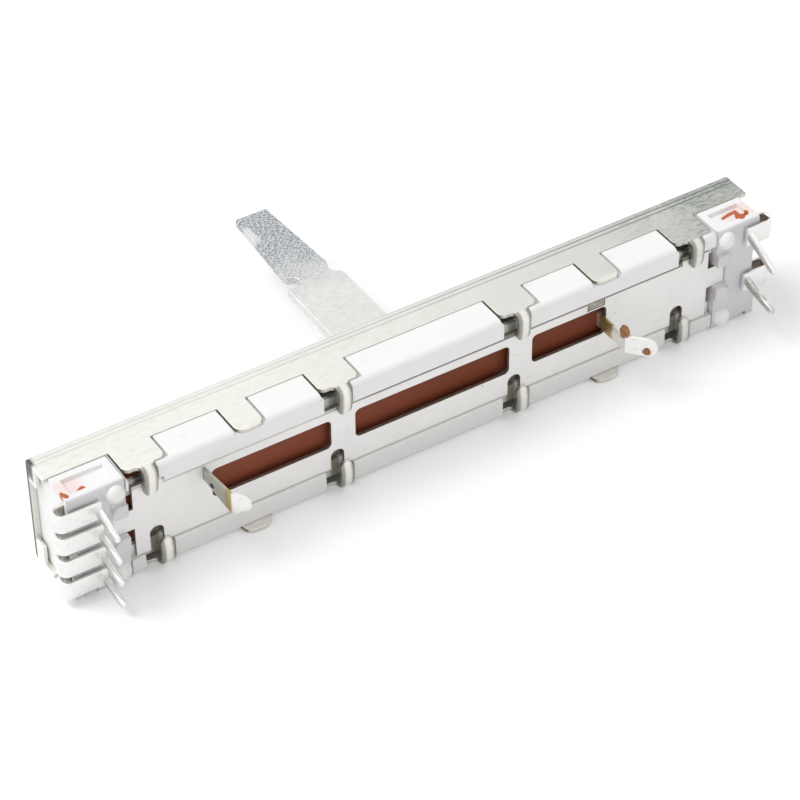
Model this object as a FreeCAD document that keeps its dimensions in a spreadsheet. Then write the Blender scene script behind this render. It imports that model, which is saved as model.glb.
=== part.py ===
"""Dual-gang slide potentiometer with 60 mm of travel, in millimetres.

The origin is the middle of the two panel screw holes, on the front face of the steel frame.
+X runs along the travel, +Y points out of the panel along the lever, and +Z is up as the part
lies on its long side. Depths are counted from the front face towards the rear, so a depth is -y.
"""
import FreeCAD, Part
import math
import os
import re
import Sketcher

doc = FreeCAD.newDocument("slide_potentiometer")

# Driving dimensions: name, millimetres (or degrees), what it is.
# A size in words follows from sizes above it, so the ends go with the travel and the inside with the frame.
SIZES = [
    ("travel", 60.0, "travel of the lever"),
    ("frame_length", "travel + 28.0", "length of the steel frame"),
    ("frame_height", 13.8, "height across the two flanges"),
    ("body_depth", 8.2, "depth of the housing's rear face"),
    ("steel", 0.5, "thickness of the frame sheet"),
    ("flange_depth", 4.0, "depth of the plain flange strip"),
    ("bend_outer", 0.7, "outer radius of the frame's long bends"),
    ("tab_inner_place", 11.2, "inner crimp tabs, from the middle"),
    ("tab_outer_place", "frame_length / 2 - 9.8", "upper outer crimp tabs, from the middle"),
    ("tab_outer_low", "frame_length / 2 - 11.1", "lower outer crimp tabs, from the middle"),
    ("tab_width", 4.8, "width of a crimp tab"),
    ("tab_depth", "body_depth - 0.8", "depth that a crimp tab reaches"),
    ("tab_corner", 0.8, "corner radius of a tab"),
    ("tongue_place", "frame_length / 2 - 21.7", "rounded tongues, from the middle"),
    ("tongue_width", 3.3, "width of a tongue"),
    ("tongue_depth_upper", "body_depth + 0.2", "depth that an upper tongue reaches"),
    ("tongue_depth_lower", "body_depth + 1.1", "depth that a lower tongue reaches"),
    ("tongue_corner", 1.2, "corner radius of a tongue"),
    ("finger_width", 1.5, "width of a crimp finger"),
    ("finger_shoulder", 0.5, "inner radius where a finger leaves its tab"),
    ("finger_side", 1.05, "room beside a finger on its closed side"),
    ("finger_length", 3.5, "how far a crimp finger comes down"),
    ("finger_kink", 2.2, "where a finger bends in towards the cover"),
    ("finger_standoff", 0.25, "gap between a finger's straight part and the cover"),
    ("finger_bend", 0.9, "outer radius of a finger's bend"),
    ("finger_flat", 0.2, "flat that is left at a finger's rounded tip"),
    ("ear_depth", 2.0, "how far a corner ear is folded back"),
    ("ear_height", 2.8, "height of a corner ear"),
    ("screw_pitch", "travel + 20.0", "distance between the panel screw holes"),
    ("screw_radius", 1.25, "radius of a screw hole, to be tapped for a small machine screw"),
    ("burr_radius", 1.9, "outer radius of the drawn collar behind a screw hole"),
    ("burr_depth", 0.7, "length of the drawn collar"),
    ("slot_height", 2.2, "height of the lever slot"),
    ("slot_corner", 0.8, "corner radius of the lever slot"),
    ("lever_rest", -0.5, "where the lever stands, from the middle of its travel"),
    ("slot_spare", 0.6, "slot length left over past the lever at each end"),
    ("lever_width", 7.0, "width of the lever at the panel"),
    ("lever_thick", 1.0, "thickness of the lever"),
    ("lever_shoulder", 15.8, "how far the wide part stands out of the panel"),
    ("lever_neck", 4.3, "width between the neck notches"),
    ("neck_length", 1.5, "length of the neck notches"),
    ("neck_step", 0.4, "length of the step from the neck to the blade"),
    ("blade_width", 5.5, "width of the blade above the neck"),
    ("tip_width", 4.0, "width of the blade at its tip"),
    ("lever_reach", 30.0, "how far the tip stands out of the panel"),
    ("foot_width", 9.4, "width of the lever's foot inside the carriage"),
    ("foot_start", 1.7, "depth where the foot begins"),
    ("foot_end", 3.6, "depth where the foot ends"),
    ("fit_gap", 0.05, "clearance between pieces that seat in each other"),
    ("past", 1.0, "how far a cut runs on past the material"),
    ("pad_gap", 0.25, "gap beside a tab or a tongue"),
    ("well_depth", 2.6, "depth of the well beside a finger, from the rear face"),
    ("housing_end", "frame_length / 2 - 0.7", "end of the housing's shelves, from the middle"),
    ("pad_end", "frame_length / 2 - 7.1", "end of the housing's deep part, from the middle"),
    ("pad_round", 0.7, "rounding of the pads' rear edges"),
    ("cavity_half_height", "frame_height / 2 - 2.3", "half the height of the carriage's cavity"),
    ("board_front", "body_depth - 2.65", "depth of the board's front face"),
    ("board_thick", 1.25, "thickness of the board"),
    ("board_half_height", "frame_height / 2 - 1.5", "half the height of the board"),
    ("board_end", "frame_length / 2 - 2.5", "end of the board, from the middle"),
    ("board_clear", 0.2, "gap between the board and a staked pin"),
    ("lip_overlap", 0.7, "how far a lip reaches past the edge of the cover's seat"),
    ("cover_thick", 0.5, "thickness of the rear cover"),
    ("cover_sunk", 0.3, "how far the cover lies below the housing's rear face"),
    ("cover_middle", 0.18, "height of the cover's middle line"),
    ("cover_height", "frame_height - 5.45", "height of the rear cover"),
    ("cover_end", "frame_length / 2 - 7.8", "end of the cover's main plate, from the middle"),
    ("cover_step", 0.6, "how far the cover's ends are taller, above and below"),
    ("cover_step_place", "frame_length / 2 - 11.4", "start of the taller ends above, from the middle"),
    ("end_tongue_reach", "frame_length / 2 - 5.5", "end of the cover's end tongues, from the middle"),
    ("end_tongue_height", 2.7, "height of the cover's end tongues"),
    ("end_tongue_middle", 0.6, "height of the end tongues' middle line"),
    ("window_middle", 0.94, "height of the windows' middle line"),
    ("window_height", 3.75, "height of the windows"),
    ("window_corner", 0.6, "corner radius of the windows"),
    ("window_bar", 3.0, "width of the bars between the windows"),
    ("window_left_end", "frame_length / 2 - 17.0", "outer end of the left window, from the middle"),
    ("window_right_end", "frame_length / 2 - 21.6", "outer end of the right window, from the middle"),
    ("notch_width", 1.6, "width of the round-ended notches in the cover's lower edge"),
    ("notch_flat", 0.1, "flat that is left at a notch's round end"),
    ("notch_aside", 0.8, "notches, from the middle of their fingers"),
    ("notch_rise", 2.4, "height of a notch's end above the cover's lower edge"),
    ("dent_length", 2.3, "length of the sunk patch above the right window"),
    ("dent_height", 1.0, "height of the sunk patch"),
    ("dent_depth", 0.2, "depth of the sunk patch"),
    ("dent_aside", 0.2, "sunk patch, from the right window's end"),
    ("dent_below", 0.35, "sunk patch, from the cover's upper edge"),
    ("block_end_left", "frame_length / 2 - 0.5", "outer face of the left terminal block, from the middle"),
    ("block_end_right", "frame_length / 2 - 1.2", "outer face of the right terminal block, from the middle"),
    ("block_gap", 0.1, "gap between a terminal block and the housing's deep part"),
    ("recess_inset", 0.9, "rim around the recess on top of a block"),
    ("recess_depth", 0.45, "depth of the recess on top of a block"),
    ("waist", 0.6, "depth of the hollow in a block's outer face"),
    ("waist_low", 1.1, "how far the hollow reaches below the middle line"),
    ("waist_high", 2.2, "how far the hollow reaches above the middle line"),
    ("snap_end", "frame_length / 2 - 5.2", "end of a block's snap lugs, from the middle"),
    ("snap_rise", 0.45, "how far a snap lug stands out of a block"),
    ("snap_gap", 0.1, "gap between a snap lug and the cover's end tongue"),
    ("snap_upper", 1.6, "height of the upper snap lug"),
    ("snap_lower", 1.8, "height of the lower snap lug"),
    ("snap_round", 0.6, "corner radius of a snap lug"),
    ("foot_notch", 0.6, "height of the notch under a block"),
    ("foot_notch_near", 1.0, "near side of that notch, from the block's outer face"),
    ("foot_notch_far", 2.5, "far side of that notch, from the block's outer face"),
    ("stake_place", "frame_length / 2 - 5.8", "heat-staked pins, from the middle"),
    ("stake_height", "frame_height / 2 - 1.5", "heat-staked pins, from the middle line"),
    ("stake_radius", 0.7, "radius of a heat-staked pin"),
    ("stake_head", 1.05, "radius of a staked head"),
    ("stake_rise", 0.55, "height of a staked head"),
    ("strip_left", 2.2, "height of a left terminal's strip"),
    ("strip_right", 2.4, "height of a right terminal's strip"),
    ("strip_thick", 0.4, "thickness of the terminal sheet"),
    ("strip_start", "frame_length / 2 - 4.4", "inner end of a terminal's strip, from the middle"),
    ("strip_out", 1.6, "outside of a terminal's bend, from its block's outer face"),
    ("bend_depth", 2.1, "depth of a terminal's bend, outside"),
    ("bend_round", 0.95, "outer radius of a terminal's bend"),
    ("pin_left", "frame_length / 2 - 3.2", "outer side of a left pin, from the middle"),
    ("pin_right", "frame_length / 2 - 2.6", "outer side of a right pin, from the middle"),
    ("pin_rise", 0.5, "height of a right pin's root above the middle of its strip"),
    ("pin_width", 0.8, "width of a pin along the body"),
    ("pin_height", 1.1, "height of a pin"),
    ("pin_length_left", 4.2, "length of a left pin past its bend"),
    ("pin_length_right", 5.3, "length of a right pin past its bend"),
    ("pin_round", 0.38, "corner radius of a pin's tip"),
    ("droop_left", 11.0, "degrees that the left pins hang down"),
    ("droop_right_upper", 26.0, "degrees that the upper right pin hangs down"),
    ("droop_right_lower", 14.0, "degrees that the lower right pin hangs down"),
    ("terminal_pitch", 3.05, "spacing of the four left terminals"),
    ("right_upper", 5.0, "height of the upper right terminal"),
    ("right_lower", -1.4, "height of the lower right terminal"),
    ("eyelet_place", "frame_length / 2 - 3.4", "terminal eyelets, from the middle"),
    ("eyelet_drop", 0.45, "how far the upper right eyelet sits below its terminal's middle"),
    ("eyelet_radius", 0.45, "radius of an eyelet's shank"),
    ("eyelet_head", 0.75, "radius of an eyelet's head"),
    ("eyelet_gap", 0.02, "gap around an eyelet's shank"),
    ("eyelet_rise", 0.12, "height of an eyelet's head"),
    ("track_thick", 0.05, "thickness of a printed track"),
    ("track_half_length", "travel / 2 + 6.6", "half the length of a printed track"),
    ("track_place", 2.9, "height of a resistive track"),
    ("track_width", 1.5, "width of a resistive track"),
    ("collector_place", 1.1, "height of a collector track"),
    ("collector_width", 1.0, "width of a collector track"),
    ("carriage_length", 14.0, "length of the carriage"),
    ("carriage_front", 0.9, "depth of the carriage's front face"),
    ("carriage_rear", "board_front - 1.25", "depth of the carriage's rear face"),
    ("carriage_half_height", "cavity_half_height - 0.3", "half the height of the carriage"),
    ("carriage_relief", 0.5, "depth of the relief between the carriage's four shoes"),
    ("shoe_length", 2.6, "length of one shoe of the carriage"),
    ("wiper_thick", 0.15, "thickness of the wiper sheet"),
    ("wiper_clear", 0.06, "gap between a wiper and its tracks"),
    ("wiper_base", 4.6, "length of a wiper's base plate"),
    ("wiper_arm", 5.6, "length of a wiper's arms"),
    ("wiper_contact", 4.75, "from a wiper's fold to the point that touches its track"),
    ("wiper_curl", 0.3, "how far a wiper's end curls away from its track"),
    ("wiper_slit", 0.35, "slit between a wiper's two arms"),
    ("post_radius", 0.4, "radius of the posts that hold the wipers"),
    ("post_height", 2.0, "posts, from the middle line"),
    ("post_near", 1.4, "near posts, from a wiper's fold"),
    ("post_far", 3.45, "far posts, from a wiper's fold"),
    ("spring_thick", 0.15, "thickness of the drag spring"),
    ("spring_length", 8.4, "length of the drag spring"),
    ("spring_width", 1.6, "width of the drag spring"),
    ("spring_crown", 3.4, "length of the drag spring's raised middle"),
    ("spring_depth", 2.0, "depth of the drag spring's middle line"),
    ("lug_thick", 0.35, "thickness of a solder lug"),
    ("lug_height_left", 2.6, "height of the left solder lug's strip"),
    ("lug_height_right", 1.9, "height of the right solder lug's strip"),
    ("lug_foot", 2.4, "length of a solder lug's foot"),
    ("lug_drop_right", 0.5, "how far the right solder lug sits below the windows' middle line"),
    ("lug_drop_left", 0.1, "how far the left solder lug sits below the windows' middle line"),
    ("lug_gap", 0.1, "gap between a solder lug and its window's end"),
    ("lug_depth", "body_depth + 4.0", "depth where a solder lug turns"),
    ("eye_radius", 1.2, "radius of a solder lug's end"),
    ("eye_flat", 0.1, "flat that is left at a lug's rounded end"),
    ("eye_length_left", 0.7, "from the left lug's turn to the middle of its rounded end"),
    ("eye_length_right", 2.5, "from the right lug's turn to the middle of its rounded end"),
    ("eye_hole", 0.5, "radius of the hole in a solder lug"),
    ("hole_sink", 0.5, "how far the right lug's hole sits below its middle line"),
    ("hole_back", 3.0, "from the left lug's hole to the depth where the lug turns"),
    ("eye_turn_left", -29.0, "degrees that the left lug's end is turned, outwards counted"),
    ("eye_turn_right", 42.0, "degrees that the right lug's end is turned outwards"),
]

sheet = doc.addObject("Spreadsheet::Sheet", "Sizes")
NAMES = {name for name, _, _ in SIZES}
for row, (name, number, meaning) in enumerate(SIZES, start=1):
    sheet.set(f"A{row}", meaning)
    sheet.set(f"B{row}", "=" + number if isinstance(number, str) else str(number))
    sheet.setAlias(f"B{row}", name)
doc.recompute()


def bound(words):
    """The expression in words, with each size name pointing at its cell in the sheet."""
    return re.sub(r"[a-z]+(?:_[a-z]+)*", lambda found: "Sizes." + found.group(0)
                  if found.group(0) in NAMES else found.group(0), str(words))


def value(words):
    """What an expression of sizes comes to now, in millimetres."""
    result = sheet.evalExpression(bound(words))
    return float(getattr(result, "Value", result))


# Heights and depths that several pieces share, as expressions of the sizes
TOP = "frame_height / 2"
UNDER_FLANGE = "(frame_height / 2 - steel - fit_gap)"
PAD_FRONT = "(flange_depth + fit_gap * 2)"
BOARD_REAR = "(board_front + board_thick)"
COVER_REAR = "(body_depth - cover_sunk)"
COVER_FRONT = "(body_depth - cover_sunk - cover_thick)"
COVER_TOP = "(cover_middle + cover_height / 2)"
COVER_BOTTOM = "(cover_middle - cover_height / 2)"
STRIP_REAR = "(board_front + board_thick + strip_thick)"
TAB_PLACES = {side: [f"{hand} * {place}" for hand in (-1, 1) for place in ("tab_inner_place", outer)]
              for side, outer in ((1, "tab_outer_place"), (-1, "tab_outer_low"))}
SIDES = {-1: "left", 1: "right"}
LEFT_TERMINALS = [f"{steps} * terminal_pitch" for steps in (1.5, 0.5, -0.5, -1.5)]
RIGHT_TERMINALS = ["right_upper", "right_lower"]
RIGHT_DROOPS = ["droop_right_upper", "droop_right_lower"]
RIGHT_EYELETS = ["right_upper - eyelet_drop", "right_lower"]
EYELETS = [(-1, height) for height in LEFT_TERMINALS] + [(1, height) for height in RIGHT_EYELETS]


class Piece:
    """A PartDesign body, built from sketches on its own origin planes.

    A sketch on the front plane has x along the part and y up, and grows towards the rear.
    A sketch on the top plane has x along the part and y out of the panel, and grows upwards.
    A sketch on the side plane has x out of the panel and y up, and grows along the part.
    """
    PLANES = {"front": "XZ_Plane", "top": "XY_Plane", "side": "YZ_Plane"}

    def __init__(self, label):
        self.body = doc.addObject("PartDesign::Body", label)
        self.body.Label = label
        self.planes = {plane.Role: plane for plane in self.body.Origin.OriginFeatures}

    def sketch(self, view, start):
        """A new sketch on one of the three planes, moved along its normal."""
        made = self.body.newObject("Sketcher::SketchObject", "Profile")
        made.AttachmentSupport = [(self.planes[self.PLANES[view]], "")]
        made.MapMode = "FlatFace"
        made.setExpression("AttachmentOffset.Base.z", bound(start))
        return made

    def polygon(self, sketch, corners):
        """A closed outline whose corners are pairs of expressions."""
        places = [FreeCAD.Vector(value(x), value(y), 0) for x, y in corners]
        first = sketch.GeometryCount
        for here, there in zip(places, places[1:] + places[:1]):
            sketch.addGeometry(Part.LineSegment(here, there), False)
        for number, corner in enumerate(corners):
            line = first + number
            following = first + (number + 1) % len(corners)
            sketch.addConstraint(Sketcher.Constraint("Coincident", line, 2, following, 1))
            for kind, words, now in zip(("DistanceX", "DistanceY"), corner, places[number]):
                index = sketch.addConstraint(Sketcher.Constraint(kind, line, 1, now))
                sketch.setExpression(f"Constraints[{index}]", bound(words))

    def circle(self, sketch, x, y, radius):
        """A circle whose middle and radius are expressions."""
        middle = FreeCAD.Vector(value(x), value(y), 0)
        ring = sketch.addGeometry(Part.Circle(middle, FreeCAD.Vector(0, 0, 1), value(radius)), False)
        for kind, words, now in (("DistanceX", x, middle.x), ("DistanceY", y, middle.y)):
            index = sketch.addConstraint(Sketcher.Constraint(kind, ring, 3, now))
            sketch.setExpression(f"Constraints[{index}]", bound(words))
        index = sketch.addConstraint(Sketcher.Constraint("Radius", ring, value(radius)))
        sketch.setExpression(f"Constraints[{index}]", bound(radius))

    def pad(self, sketch, length):
        """Adds the sketch's outline, grown along its normal."""
        feature = self.body.newObject("PartDesign::Pad", "Pad")
        feature.Profile = sketch
        feature.setExpression("Length", bound(length))
        return self.finish(feature)

    def pocket(self, sketch, length):
        """Cuts the sketch's outline along its normal, and makes sure that something was cut."""
        before = self.body.Tip.Shape.Volume
        feature = self.body.newObject("PartDesign::Pocket", "Pocket")
        feature.Profile = sketch
        feature.Reversed = True
        feature.setExpression("Length", bound(length))
        self.finish(feature)
        if feature.Shape.Volume > before - 1e-6:
            raise RuntimeError(f"{self.body.Label}: a pocket cut nothing")
        return feature

    def finish(self, feature):
        """Makes the new feature the body's result and works it out."""
        self.body.Tip = feature
        doc.recompute()
        return feature

    def block(self, view, start, length, corners):
        """Pads a polygon in one step."""
        sketch = self.sketch(view, start)
        self.polygon(sketch, corners)
        return self.pad(sketch, length)

    def hollow(self, view, start, length, *outlines):
        """Pockets one or more polygons in one step."""
        sketch = self.sketch(view, start)
        for corners in outlines:
            self.polygon(sketch, corners)
        return self.pocket(sketch, length)

    def round_edges(self, radius, axis, places):
        """Rounds the straight edges along an axis that pass through the given places."""
        across = [number for number in range(3) if number != "xyz".index(axis)]
        targets = [(value(first), value(second)) for first, second in places]
        base = self.body.Tip
        chosen = []
        for number, edge in enumerate(base.Shape.Edges, start=1):
            ends = [vertex.Point for vertex in edge.Vertexes]
            if len(ends) != 2:
                continue
            if max(abs(ends[0][i] - ends[1][i]) for i in across) > 1e-4:
                continue
            if any(math.hypot(ends[0][across[0]] - a, ends[0][across[1]] - b) < 1e-3 for a, b in targets):
                chosen.append(f"Edge{number}")
        return self.fillet(radius, base, chosen)

    def round_at(self, radius, middles):
        """Rounds the straight edges whose middles are at the given points."""
        targets = [FreeCAD.Vector(*[value(words) for words in middle]) for middle in middles]
        base = self.body.Tip
        chosen = []
        for number, edge in enumerate(base.Shape.Edges, start=1):
            ends = [vertex.Point for vertex in edge.Vertexes]
            if len(ends) == 2 and any((ends[0] + ends[1] - target * 2).Length < 1e-3 for target in targets):
                chosen.append(f"Edge{number}")
        return self.fillet(radius, base, chosen)

    def fillet(self, radius, base, chosen):
        """Rounds the chosen edges of a feature."""
        if not chosen:
            raise RuntimeError(f"{self.body.Label}: no edge to round")
        feature = self.body.newObject("PartDesign::Fillet", "Fillet")
        feature.Base = (base, chosen)
        feature.setExpression("Radius", bound(radius))
        return self.finish(feature)

    def bore(self, radius, length, middle, direction):
        """Drills a hole of a given length, centred on a point, along any direction."""
        before = self.body.Tip.Shape.Volume
        drill = self.body.newObject("PartDesign::SubtractiveCylinder", "Bore")
        axis = FreeCAD.Vector(*direction)
        drill.Placement = FreeCAD.Placement(FreeCAD.Vector(), FreeCAD.Rotation(FreeCAD.Vector(0, 0, 1), axis))
        drill.setExpression("Radius", bound(radius))
        drill.setExpression("Height", bound(length))
        for name, words, part in zip("xyz", middle, axis):
            drill.setExpression(f"Placement.Base.{name}", bound(f"{words} - {part:.9f} * {length} / 2"))
        self.finish(drill)
        if drill.Shape.Volume > before - 1e-6:
            raise RuntimeError(f"{self.body.Label}: a bore cut nothing")
        return drill


def box(x0, x1, y0, y1):
    """The four corners of a rectangle."""
    return [(x0, y0), (x1, y0), (x1, y1), (x0, y1)]


def around(middle, half, y0, y1):
    """A rectangle that is centred in x."""
    return box(f"{middle} - {half}", f"{middle} + {half}", y0, y1)


def ring(x, y, radius):
    """Eight corners round a point, for the small holes and posts that repeat."""
    return [(f"{x} + {radius} * cos({turn} * 1 deg)", f"{y} + {radius} * sin({turn} * 1 deg)")
            for turn in range(0, 360, 45)]


def front_frame():
    """Folded steel frame: web, flanges with tabs and tongues, crimp fingers, corner ears and drawn holes."""
    piece = Piece("front_frame")
    piece.block("front", "0", "steel", box("-frame_length / 2", "frame_length / 2", f"-{TOP}", TOP))
    root = "(finger_shoulder + fit_gap)"
    for side, tongue_depth in ((1, "tongue_depth_upper"), (-1, "tongue_depth_lower")):
        steps = [(place, "tab_width", "tab_depth", "tab_corner") for place in TAB_PLACES[side]]
        steps += [(f"{hand} * tongue_place", "tongue_width", tongue_depth, "tongue_corner")
                  for hand in (-1, 1)]
        steps.sort(key=lambda step: value(step[0]))
        rim = [("-frame_length / 2", "0"), ("-frame_length / 2", "-flange_depth")]
        for place, width, depth, corner in steps:
            rim += [(f"{place} - {width} / 2", "-flange_depth"), (f"{place} - {width} / 2", f"-{depth}")]
            if corner == "tab_corner":
                rim += [(f"{place} {sign} finger_width / 2", f"-{depth} - {reach}")
                        for sign, reach in (("-", "0"), ("-", root), ("+", root), ("+", "0"))]
            rim += [(f"{place} + {width} / 2", f"-{depth}"), (f"{place} + {width} / 2", "-flange_depth")]
        rim += [("frame_length / 2", "-flange_depth"), ("frame_length / 2", "0")]
        piece.block("top", f"{TOP} - steel" if side > 0 else f"-{TOP}", "steel", rim)
        for corner in ("tab_corner", "tongue_corner"):
            places = [(f"{place} + {hand} * {width} / 2", f"-{depth}") for place, width, depth, name in steps
                      for hand in (-1, 1) if name == corner]
            piece.round_edges(corner, "z", places)
        piece.round_edges("finger_shoulder", "z", [(f"{place} {sign} finger_width / 2", "-tab_depth")
                                                   for place in TAB_PLACES[side] for sign in "-+"])
    piece.round_edges("bend_outer", "x", [("0", TOP), ("0", f"-{TOP}")])
    for side in (1, -1):
        for place in TAB_PLACES[side]:
            crimp_finger(piece, place, side)
        for hand in (-1, 1):
            outer = f"{hand} * frame_length / 2"
            start = outer + " - steel" if hand > 0 else outer
            edge = f"{side} * {TOP}"
            piece.block("side", start, "steel",
                        box("-steel", "-ear_depth", edge, f"{edge} - {side} * ear_height"))
    sketch = piece.sketch("front", "steel / 2")
    for hand in (-1, 1):
        piece.circle(sketch, f"{hand} * screw_pitch / 2", "0", "burr_radius")
    piece.pad(sketch, "steel / 2 + burr_depth")
    sketch = piece.sketch("front", "-steel")
    for hand in (-1, 1):
        piece.circle(sketch, f"{hand} * screw_pitch / 2", "0", "screw_radius")
    piece.pocket(sketch, "3 * steel + burr_depth")
    half_slot = "(travel / 2 + lever_width / 2 + slot_spare)"
    piece.hollow("front", "-steel", "3 * steel",
                 box(f"-{half_slot}", half_slot, "-slot_height / 2", "slot_height / 2"))
    piece.round_edges("slot_corner", "y", [(f"{hand} * {half_slot}", f"{side} * slot_height / 2")
                                           for hand in (-1, 1) for side in (-1, 1)])
    return piece


def crimp_finger(piece, place, side):
    """One finger: over the edge of its tab, down behind the body, and in against the cover."""
    outside = f"({COVER_REAR} + finger_standoff + steel)"
    inside = f"({COVER_REAR} + finger_standoff)"
    upper = f"{side} * {TOP}"
    lower = f"{side} * ({TOP} - steel)"
    profile = [
        ("-tab_depth + steel", upper),
        (f"-{outside}", upper),
        (f"-{outside}", f"{side} * ({TOP} - finger_kink)"),
        (f"-{COVER_REAR} - steel", f"{side} * ({TOP} - finger_length)"),
        (f"-{COVER_REAR}", f"{side} * ({TOP} - finger_length)"),
        (f"-{inside}", f"{side} * ({TOP} - finger_kink)"),
        (f"-{inside}", lower),
        ("-tab_depth + steel", lower),
    ]
    piece.block("side", f"{place} - finger_width / 2", "finger_width", profile)
    piece.round_edges("finger_bend", "x", [(f"-{outside}", upper)])
    tip = f"{side} * ({TOP} - finger_length)"
    piece.round_edges("(finger_width - finger_flat) / 2", "y",
                      [(f"{place} + {hand} * finger_width / 2", tip) for hand in (-1, 1)])


def housing():
    """Moulded body: deep middle with pads, shelves at both ends, and the pins staked over the blocks."""
    piece = Piece("housing")
    piece.block("front", "steel + fit_gap", f"{PAD_FRONT} - steel - fit_gap",
                box("-housing_end", "housing_end", f"-{UNDER_FLANGE}", UNDER_FLANGE))
    piece.block("front", PAD_FRONT, f"body_depth - {PAD_FRONT}", box("-pad_end", "pad_end", f"-{TOP}", TOP))
    piece.round_edges("pad_round", "x", [("-body_depth", TOP), ("-body_depth", f"-{TOP}")])
    for side, start in ((1, UNDER_FLANGE), (-1, f"-{TOP}")):
        beds = [around(f"{hand} * tongue_place", "(tongue_width / 2 + pad_gap)",
                       f"-{PAD_FRONT}", "-body_depth - past") for hand in (-1, 1)]
        for place in TAB_PLACES[side]:
            wide, narrow = f"{place} + tab_width / 2 + pad_gap", f"{place} + finger_side"
            corner = f"{place} - tab_width / 2 - pad_gap"
            beds.append([(corner, f"-{PAD_FRONT}"), (wide, f"-{PAD_FRONT}"), (wide, "-tab_depth - pad_gap"),
                         (narrow, "-tab_depth - pad_gap"), (narrow, "-body_depth - past"),
                         (corner, "-body_depth - past")])
        piece.hollow("top", start, f"{TOP} - {UNDER_FLANGE}", *beds)
    piece.hollow("front", "0", "board_front - fit_gap",
                 box(*[f"{hand} * (travel / 2 + carriage_length / 2 + slot_spare)" for hand in (-1, 1)],
                     "-cavity_half_height", "cavity_half_height"))
    piece.hollow("side", "-frame_length", "2 * frame_length",
                 box("-board_front + fit_gap", f"-{BOARD_REAR} - fit_gap",
                     "-board_half_height - fit_gap", "board_half_height + fit_gap"))
    piece.hollow("side", "-frame_length", "2 * frame_length",
                 box(f"-{BOARD_REAR}", "-body_depth - past",
                     f"{COVER_BOTTOM} + lip_overlap", f"{COVER_TOP} - lip_overlap"))
    piece.hollow("side", "-frame_length", "2 * frame_length",
                 box(f"-{COVER_FRONT}", "-body_depth - past",
                     f"{COVER_BOTTOM} - fit_gap", f"{COVER_TOP} + fit_gap"))
    for side, edge in ((1, COVER_TOP), (-1, COVER_BOTTOM)):
        steps = [box(*[f"{hand} * {x}" for x in ("(cover_step_place - fit_gap)", "(pad_end + past)")],
                     edge, f"{edge} + {side} * (cover_step + fit_gap)") for hand in (-1, 1)]
        piece.hollow("front", COVER_FRONT, "body_depth", *steps)
        fingers = [box(f"{place} - tab_width / 2", f"{place} + finger_side",
                       f"{side} * {TOP}", f"{side} * ({UNDER_FLANGE} - finger_length)")
                   for place in TAB_PLACES[side]]
        piece.hollow("front", COVER_FRONT, "body_depth", *fingers)
        wells = [box(f"{place} - tab_width / 2", f"{place} + finger_side",
                     f"{side} * (board_half_height + fit_gap)", f"{side} * {UNDER_FLANGE}")
                 for place in TAB_PLACES[side]]
        piece.hollow("front", "body_depth - well_depth", "body_depth", *wells)
    sketch = piece.sketch("front", "0")
    for hand in (-1, 1):
        piece.circle(sketch, f"{hand} * screw_pitch / 2", "0", "burr_radius + pad_gap")
    piece.pocket(sketch, "body_depth")
    shank = (f"{PAD_FRONT} - fit_gap", f"body_depth - {PAD_FRONT} + fit_gap * 2", "stake_radius")
    head = ("body_depth + fit_gap", "stake_rise", "stake_head")
    for depth, length, radius in (shank, head):
        sketch = piece.sketch("front", depth)
        for hand in (-1, 1):
            for side in (-1, 1):
                piece.circle(sketch, f"{hand} * stake_place", f"{side} * stake_height", radius)
        piece.pad(sketch, length)
    return piece


def rear_cover():
    """Tinned cover plate with three windows, end tongues, round notches at the fingers and a sunk patch."""
    piece = Piece("rear_cover")
    tongue = ("end_tongue_middle - end_tongue_height / 2", "end_tongue_middle + end_tongue_height / 2")
    taller, lower = f"{COVER_TOP} + cover_step", f"{COVER_BOTTOM} - cover_step"
    half = [("tab_outer_low", COVER_BOTTOM), ("tab_outer_low", lower), ("cover_end", lower),
            ("cover_end", tongue[0]), ("end_tongue_reach", tongue[0]), ("end_tongue_reach", tongue[1]),
            ("cover_end", tongue[1]), ("cover_end", taller), ("cover_step_place", taller),
            ("cover_step_place", COVER_TOP)]
    outline = half + [(f"-{x}", z) for x, z in reversed(half)]
    piece.block("front", COVER_FRONT, "cover_thick", outline)

    low, high = "window_middle - window_height / 2", "window_middle + window_height / 2"
    bar = [f"tab_inner_place {sign} window_bar / 2" for sign in "-+"]
    spans = [("-window_left_end", f"-({bar[1]})"), (f"-({bar[0]})", bar[0]), (bar[1], "window_right_end")]
    piece.hollow("front", "0", "body_depth * 2", *[box(x0, x1, low, high) for x0, x1 in spans])
    piece.round_edges("window_corner", "y", [(x, z) for span in spans for x in span for z in (low, high)])
    middles = [f"{place} - notch_aside" for place in TAB_PLACES[-1]]
    top = f"{COVER_BOTTOM} + notch_rise"
    piece.hollow("front", "0", "body_depth * 2",
                 *[around(middle, "notch_width / 2", f"{COVER_BOTTOM} - cover_step - past", top)
                   for middle in middles])
    piece.round_edges("(notch_width - notch_flat) / 2", "y",
                      [(f"{middle} {sign} notch_width / 2", top) for middle in middles for sign in "-+"])
    piece.hollow("front", f"{COVER_REAR} - dent_depth", "dent_depth + past",
                 box("window_right_end - dent_aside - dent_length", "window_right_end - dent_aside",
                     f"{COVER_TOP} - dent_below - dent_height", f"{COVER_TOP} - dent_below"))
    return piece


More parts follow.
